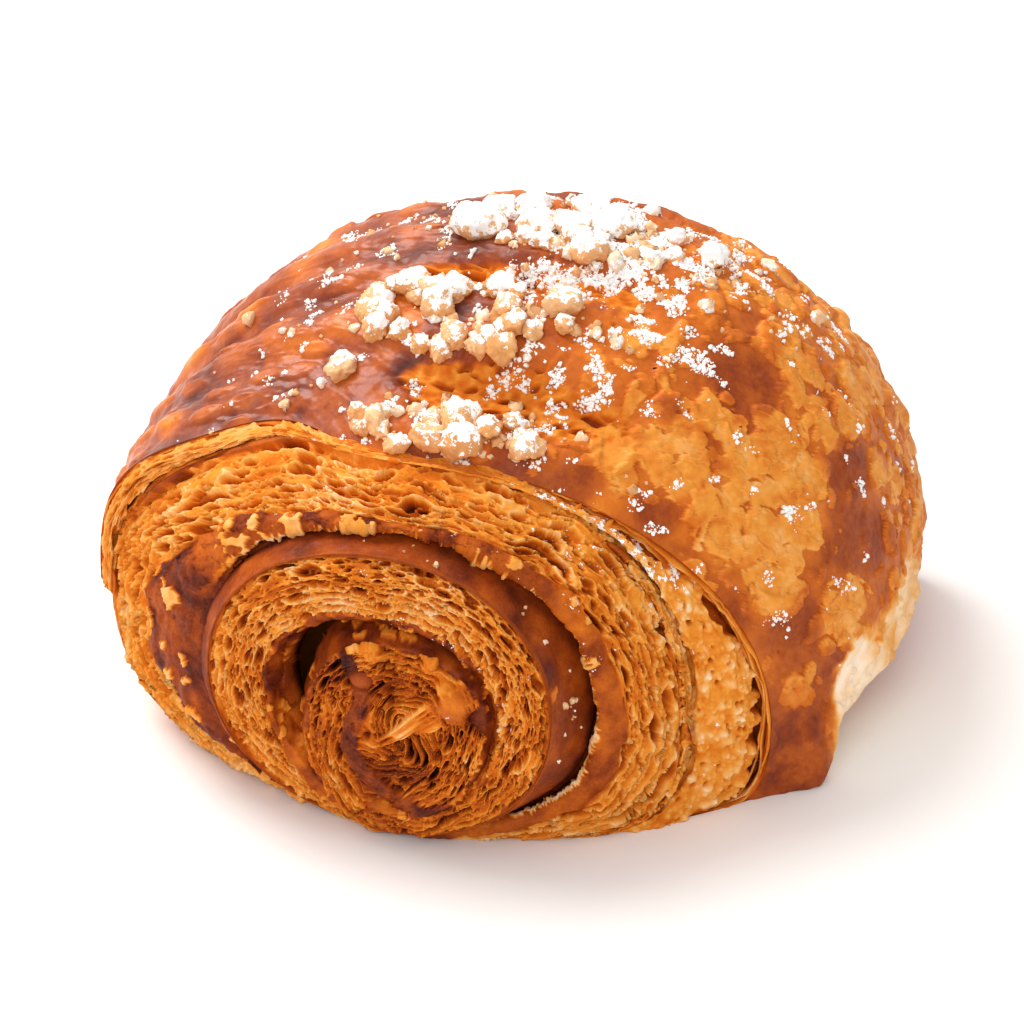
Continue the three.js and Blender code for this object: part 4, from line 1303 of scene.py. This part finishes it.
wind, along = np.meshgrid(crust_winds, crust_alongs, indexing="xy")
place = np.moveaxis(crust_top, -1, 0)
cluster = np.zeros_like(wind)
for group_wind, group_along, wind_spread, along_spread, *_ in CRUMBLE:
    off_wind, off_along = (wind - group_wind) / wind_spread, (along - group_along) / along_spread
    cluster = np.maximum(cluster, np.exp(-((off_wind**2 + off_along**2) / 1.6)))
cluster *= along < 0.5
crumb_density = cluster * smooth_step(rough(801, 3, 2, *place) + 0.5 * cluster, 0.1, 0.6)
crumb_settings = {"Per Square Millimetre": 0.9, "Smallest": 0.25, "Largest": 1.3, "Fineness": 2, "Seed": 4}
scattered("crumbs_on_top", laid_on(crust_top, crumb_density, 3), crumb_settings, crumble_finish)

gap_crumbs = between(skin_winds, 2.22, 2.56, 0.03)[:, None] * np.ones(skin_top.shape[1])
gap_crumbs *= smooth_step(rough(802, 3.0, 2, *np.moveaxis(skin_top, -1, 0)), 0.1, 0.5)
gap_settings = {"Per Square Millimetre": 0.22, "Smallest": 0.15, "Largest": 0.7, "Fineness": 2, "Seed": 5}
scattered("crumbs_in_gap", laid_on(skin_top, gap_crumbs, 2), gap_settings, crumble_finish)

sugar_finish = Finish("icing sugar")
sugar_grain = sugar_finish.noise(0.25, 2.0)
sugar_inputs = {
    "Base Color": SUGAR_WHITE,
    "Roughness": 0.9,
    "Specular IOR Level": 0.2,
    "Normal": sugar_finish.bump(sugar_grain, 0.4, 0.1),
}
sugar_shader = sugar_finish.add("ShaderNodeBsdfPrincipled", None, sugar_inputs)
sugar_finish.add("ShaderNodeOutputMaterial", None, {"Surface": sugar_shader})
sugar_density = crust_clots * (0.25 + 0.75 * smooth_step(crust_clots, 0.3, 1))
sugar_settings = {"Per Square Millimetre": 9.0, "Smallest": 0.1, "Largest": 0.42, "Fineness": 1, "Seed": 6}
sugar_ground = laid_on(crust_top, sugar_density, 2)
scattered("icing_sugar", sugar_ground, sugar_settings, sugar_finish.material)

# ---- floor, light and camera ---------------------------------------------------------------------
# A pale floor, a room that is brightest on the left, a broad lamp over the left and a weaker one in
# front, seen from the front and above.

FLOOR = 1.5
BRIGHT_SIDE, DIMMEST, BRIGHTEST = (-0.52, 0.30, 0.80), 0.12, 1.08
SUBJECT = Vector((0.0, 0.0, 0.03))

floor_mesh = bpy.data.meshes.new("floor")
floor_corners = [(-FLOOR, -FLOOR, 0), (FLOOR, -FLOOR, 0), (FLOOR, FLOOR, 0), (-FLOOR, FLOOR, 0)]
floor_mesh.from_pydata(floor_corners, [], [(0, 1, 2, 3)])
floor = bpy.data.objects.new("floor", floor_mesh)
bpy.context.scene.collection.objects.link(floor)
floor_finish = Finish("pale floor")
shader = floor_finish.add(
    "ShaderNodeBsdfPrincipled", None, {"Base Color": (0.93, 0.92, 0.91, 1), "Roughness": 0.7}
)
floor_finish.add("ShaderNodeOutputMaterial", None, {"Surface": shader})
floor_mesh.materials.append(floor_finish.material)

world = bpy.data.worlds.new("studio")
bpy.context.scene.world = world
world.use_nodes = True
world.node_tree.nodes.clear()
room = Nodes(world.node_tree)
towards = room.add("ShaderNodeTexCoord", output="Generated")
sides = {0: towards, 1: BRIGHT_SIDE}
facing = room.add("ShaderNodeVectorMath", {"operation": "DOT_PRODUCT"}, sides, output="Value")
brightness = room.add("ShaderNodeMapRange", None, {0: facing, 1: -1.0, 2: 1.0, 3: DIMMEST, 4: BRIGHTEST})
background = room.add("ShaderNodeBackground", None, {"Color": (1, 0.99, 0.98, 1), "Strength": brightness})
room.add("ShaderNodeOutputWorld", None, {"Surface": background})


def add_lamp(name, place, size, power, colour):
    """A round lamp turned to the pastry."""
    lamp = bpy.data.lights.new(name, "AREA")
    lamp.shape = "DISK"
    lamp.size = size
    lamp.energy = power
    lamp.color = colour
    holder = bpy.data.objects.new(name, lamp)
    bpy.context.scene.collection.objects.link(holder)
    holder.location = place
    holder.rotation_euler = (SUBJECT - Vector(place)).to_track_quat("-Z", "Y").to_euler()


add_lamp("broad_lamp", (-0.5, 0.2, 0.85), 0.6, 7.5, (1, 0.98, 0.95))
add_lamp("front_lamp", (0.1, -0.9, 0.6), 0.7, 3.2, (1, 0.97, 0.94))

CAMERA_AZIMUTH, CAMERA_ELEVATION, CAMERA_DISTANCE = math.radians(15), math.radians(30), 600
MM_PER_PIXEL, SENSOR, PIXELS = 0.132, 36, 1024
AIM = np.array([0.15, 2, 25])
AIM_PIXEL = (523, 501)
right = np.array([math.cos(CAMERA_AZIMUTH), math.sin(CAMERA_AZIMUTH), 0])
forward = np.array([
    -math.sin(CAMERA_AZIMUTH) * math.cos(CAMERA_ELEVATION),
    math.cos(CAMERA_AZIMUTH) * math.cos(CAMERA_ELEVATION),
    -math.sin(CAMERA_ELEVATION),
])
up = np.cross(right, forward)
sideways = (AIM_PIXEL[0] - PIXELS / 2) * MM_PER_PIXEL
upwards = (PIXELS / 2 - AIM_PIXEL[1]) * MM_PER_PIXEL
stand = AIM - forward * CAMERA_DISTANCE - right * sideways - up * upwards
camera_data = bpy.data.cameras.new("camera")
camera_data.sensor_width = SENSOR
camera_data.lens = SENSOR * CAMERA_DISTANCE / (MM_PER_PIXEL * PIXELS)
camera_data.clip_start, camera_data.clip_end = 0.01, 20
camera = bpy.data.objects.new("camera", camera_data)
bpy.context.scene.collection.objects.link(camera)
turned = Matrix((right, up, -forward)).transposed().to_4x4()
camera.matrix_world = Matrix.Translation(Vector(stand * MM)) @ turned
bpy.context.scene.camera = camera
bpy.context.scene.view_settings.view_transform = "Standard"
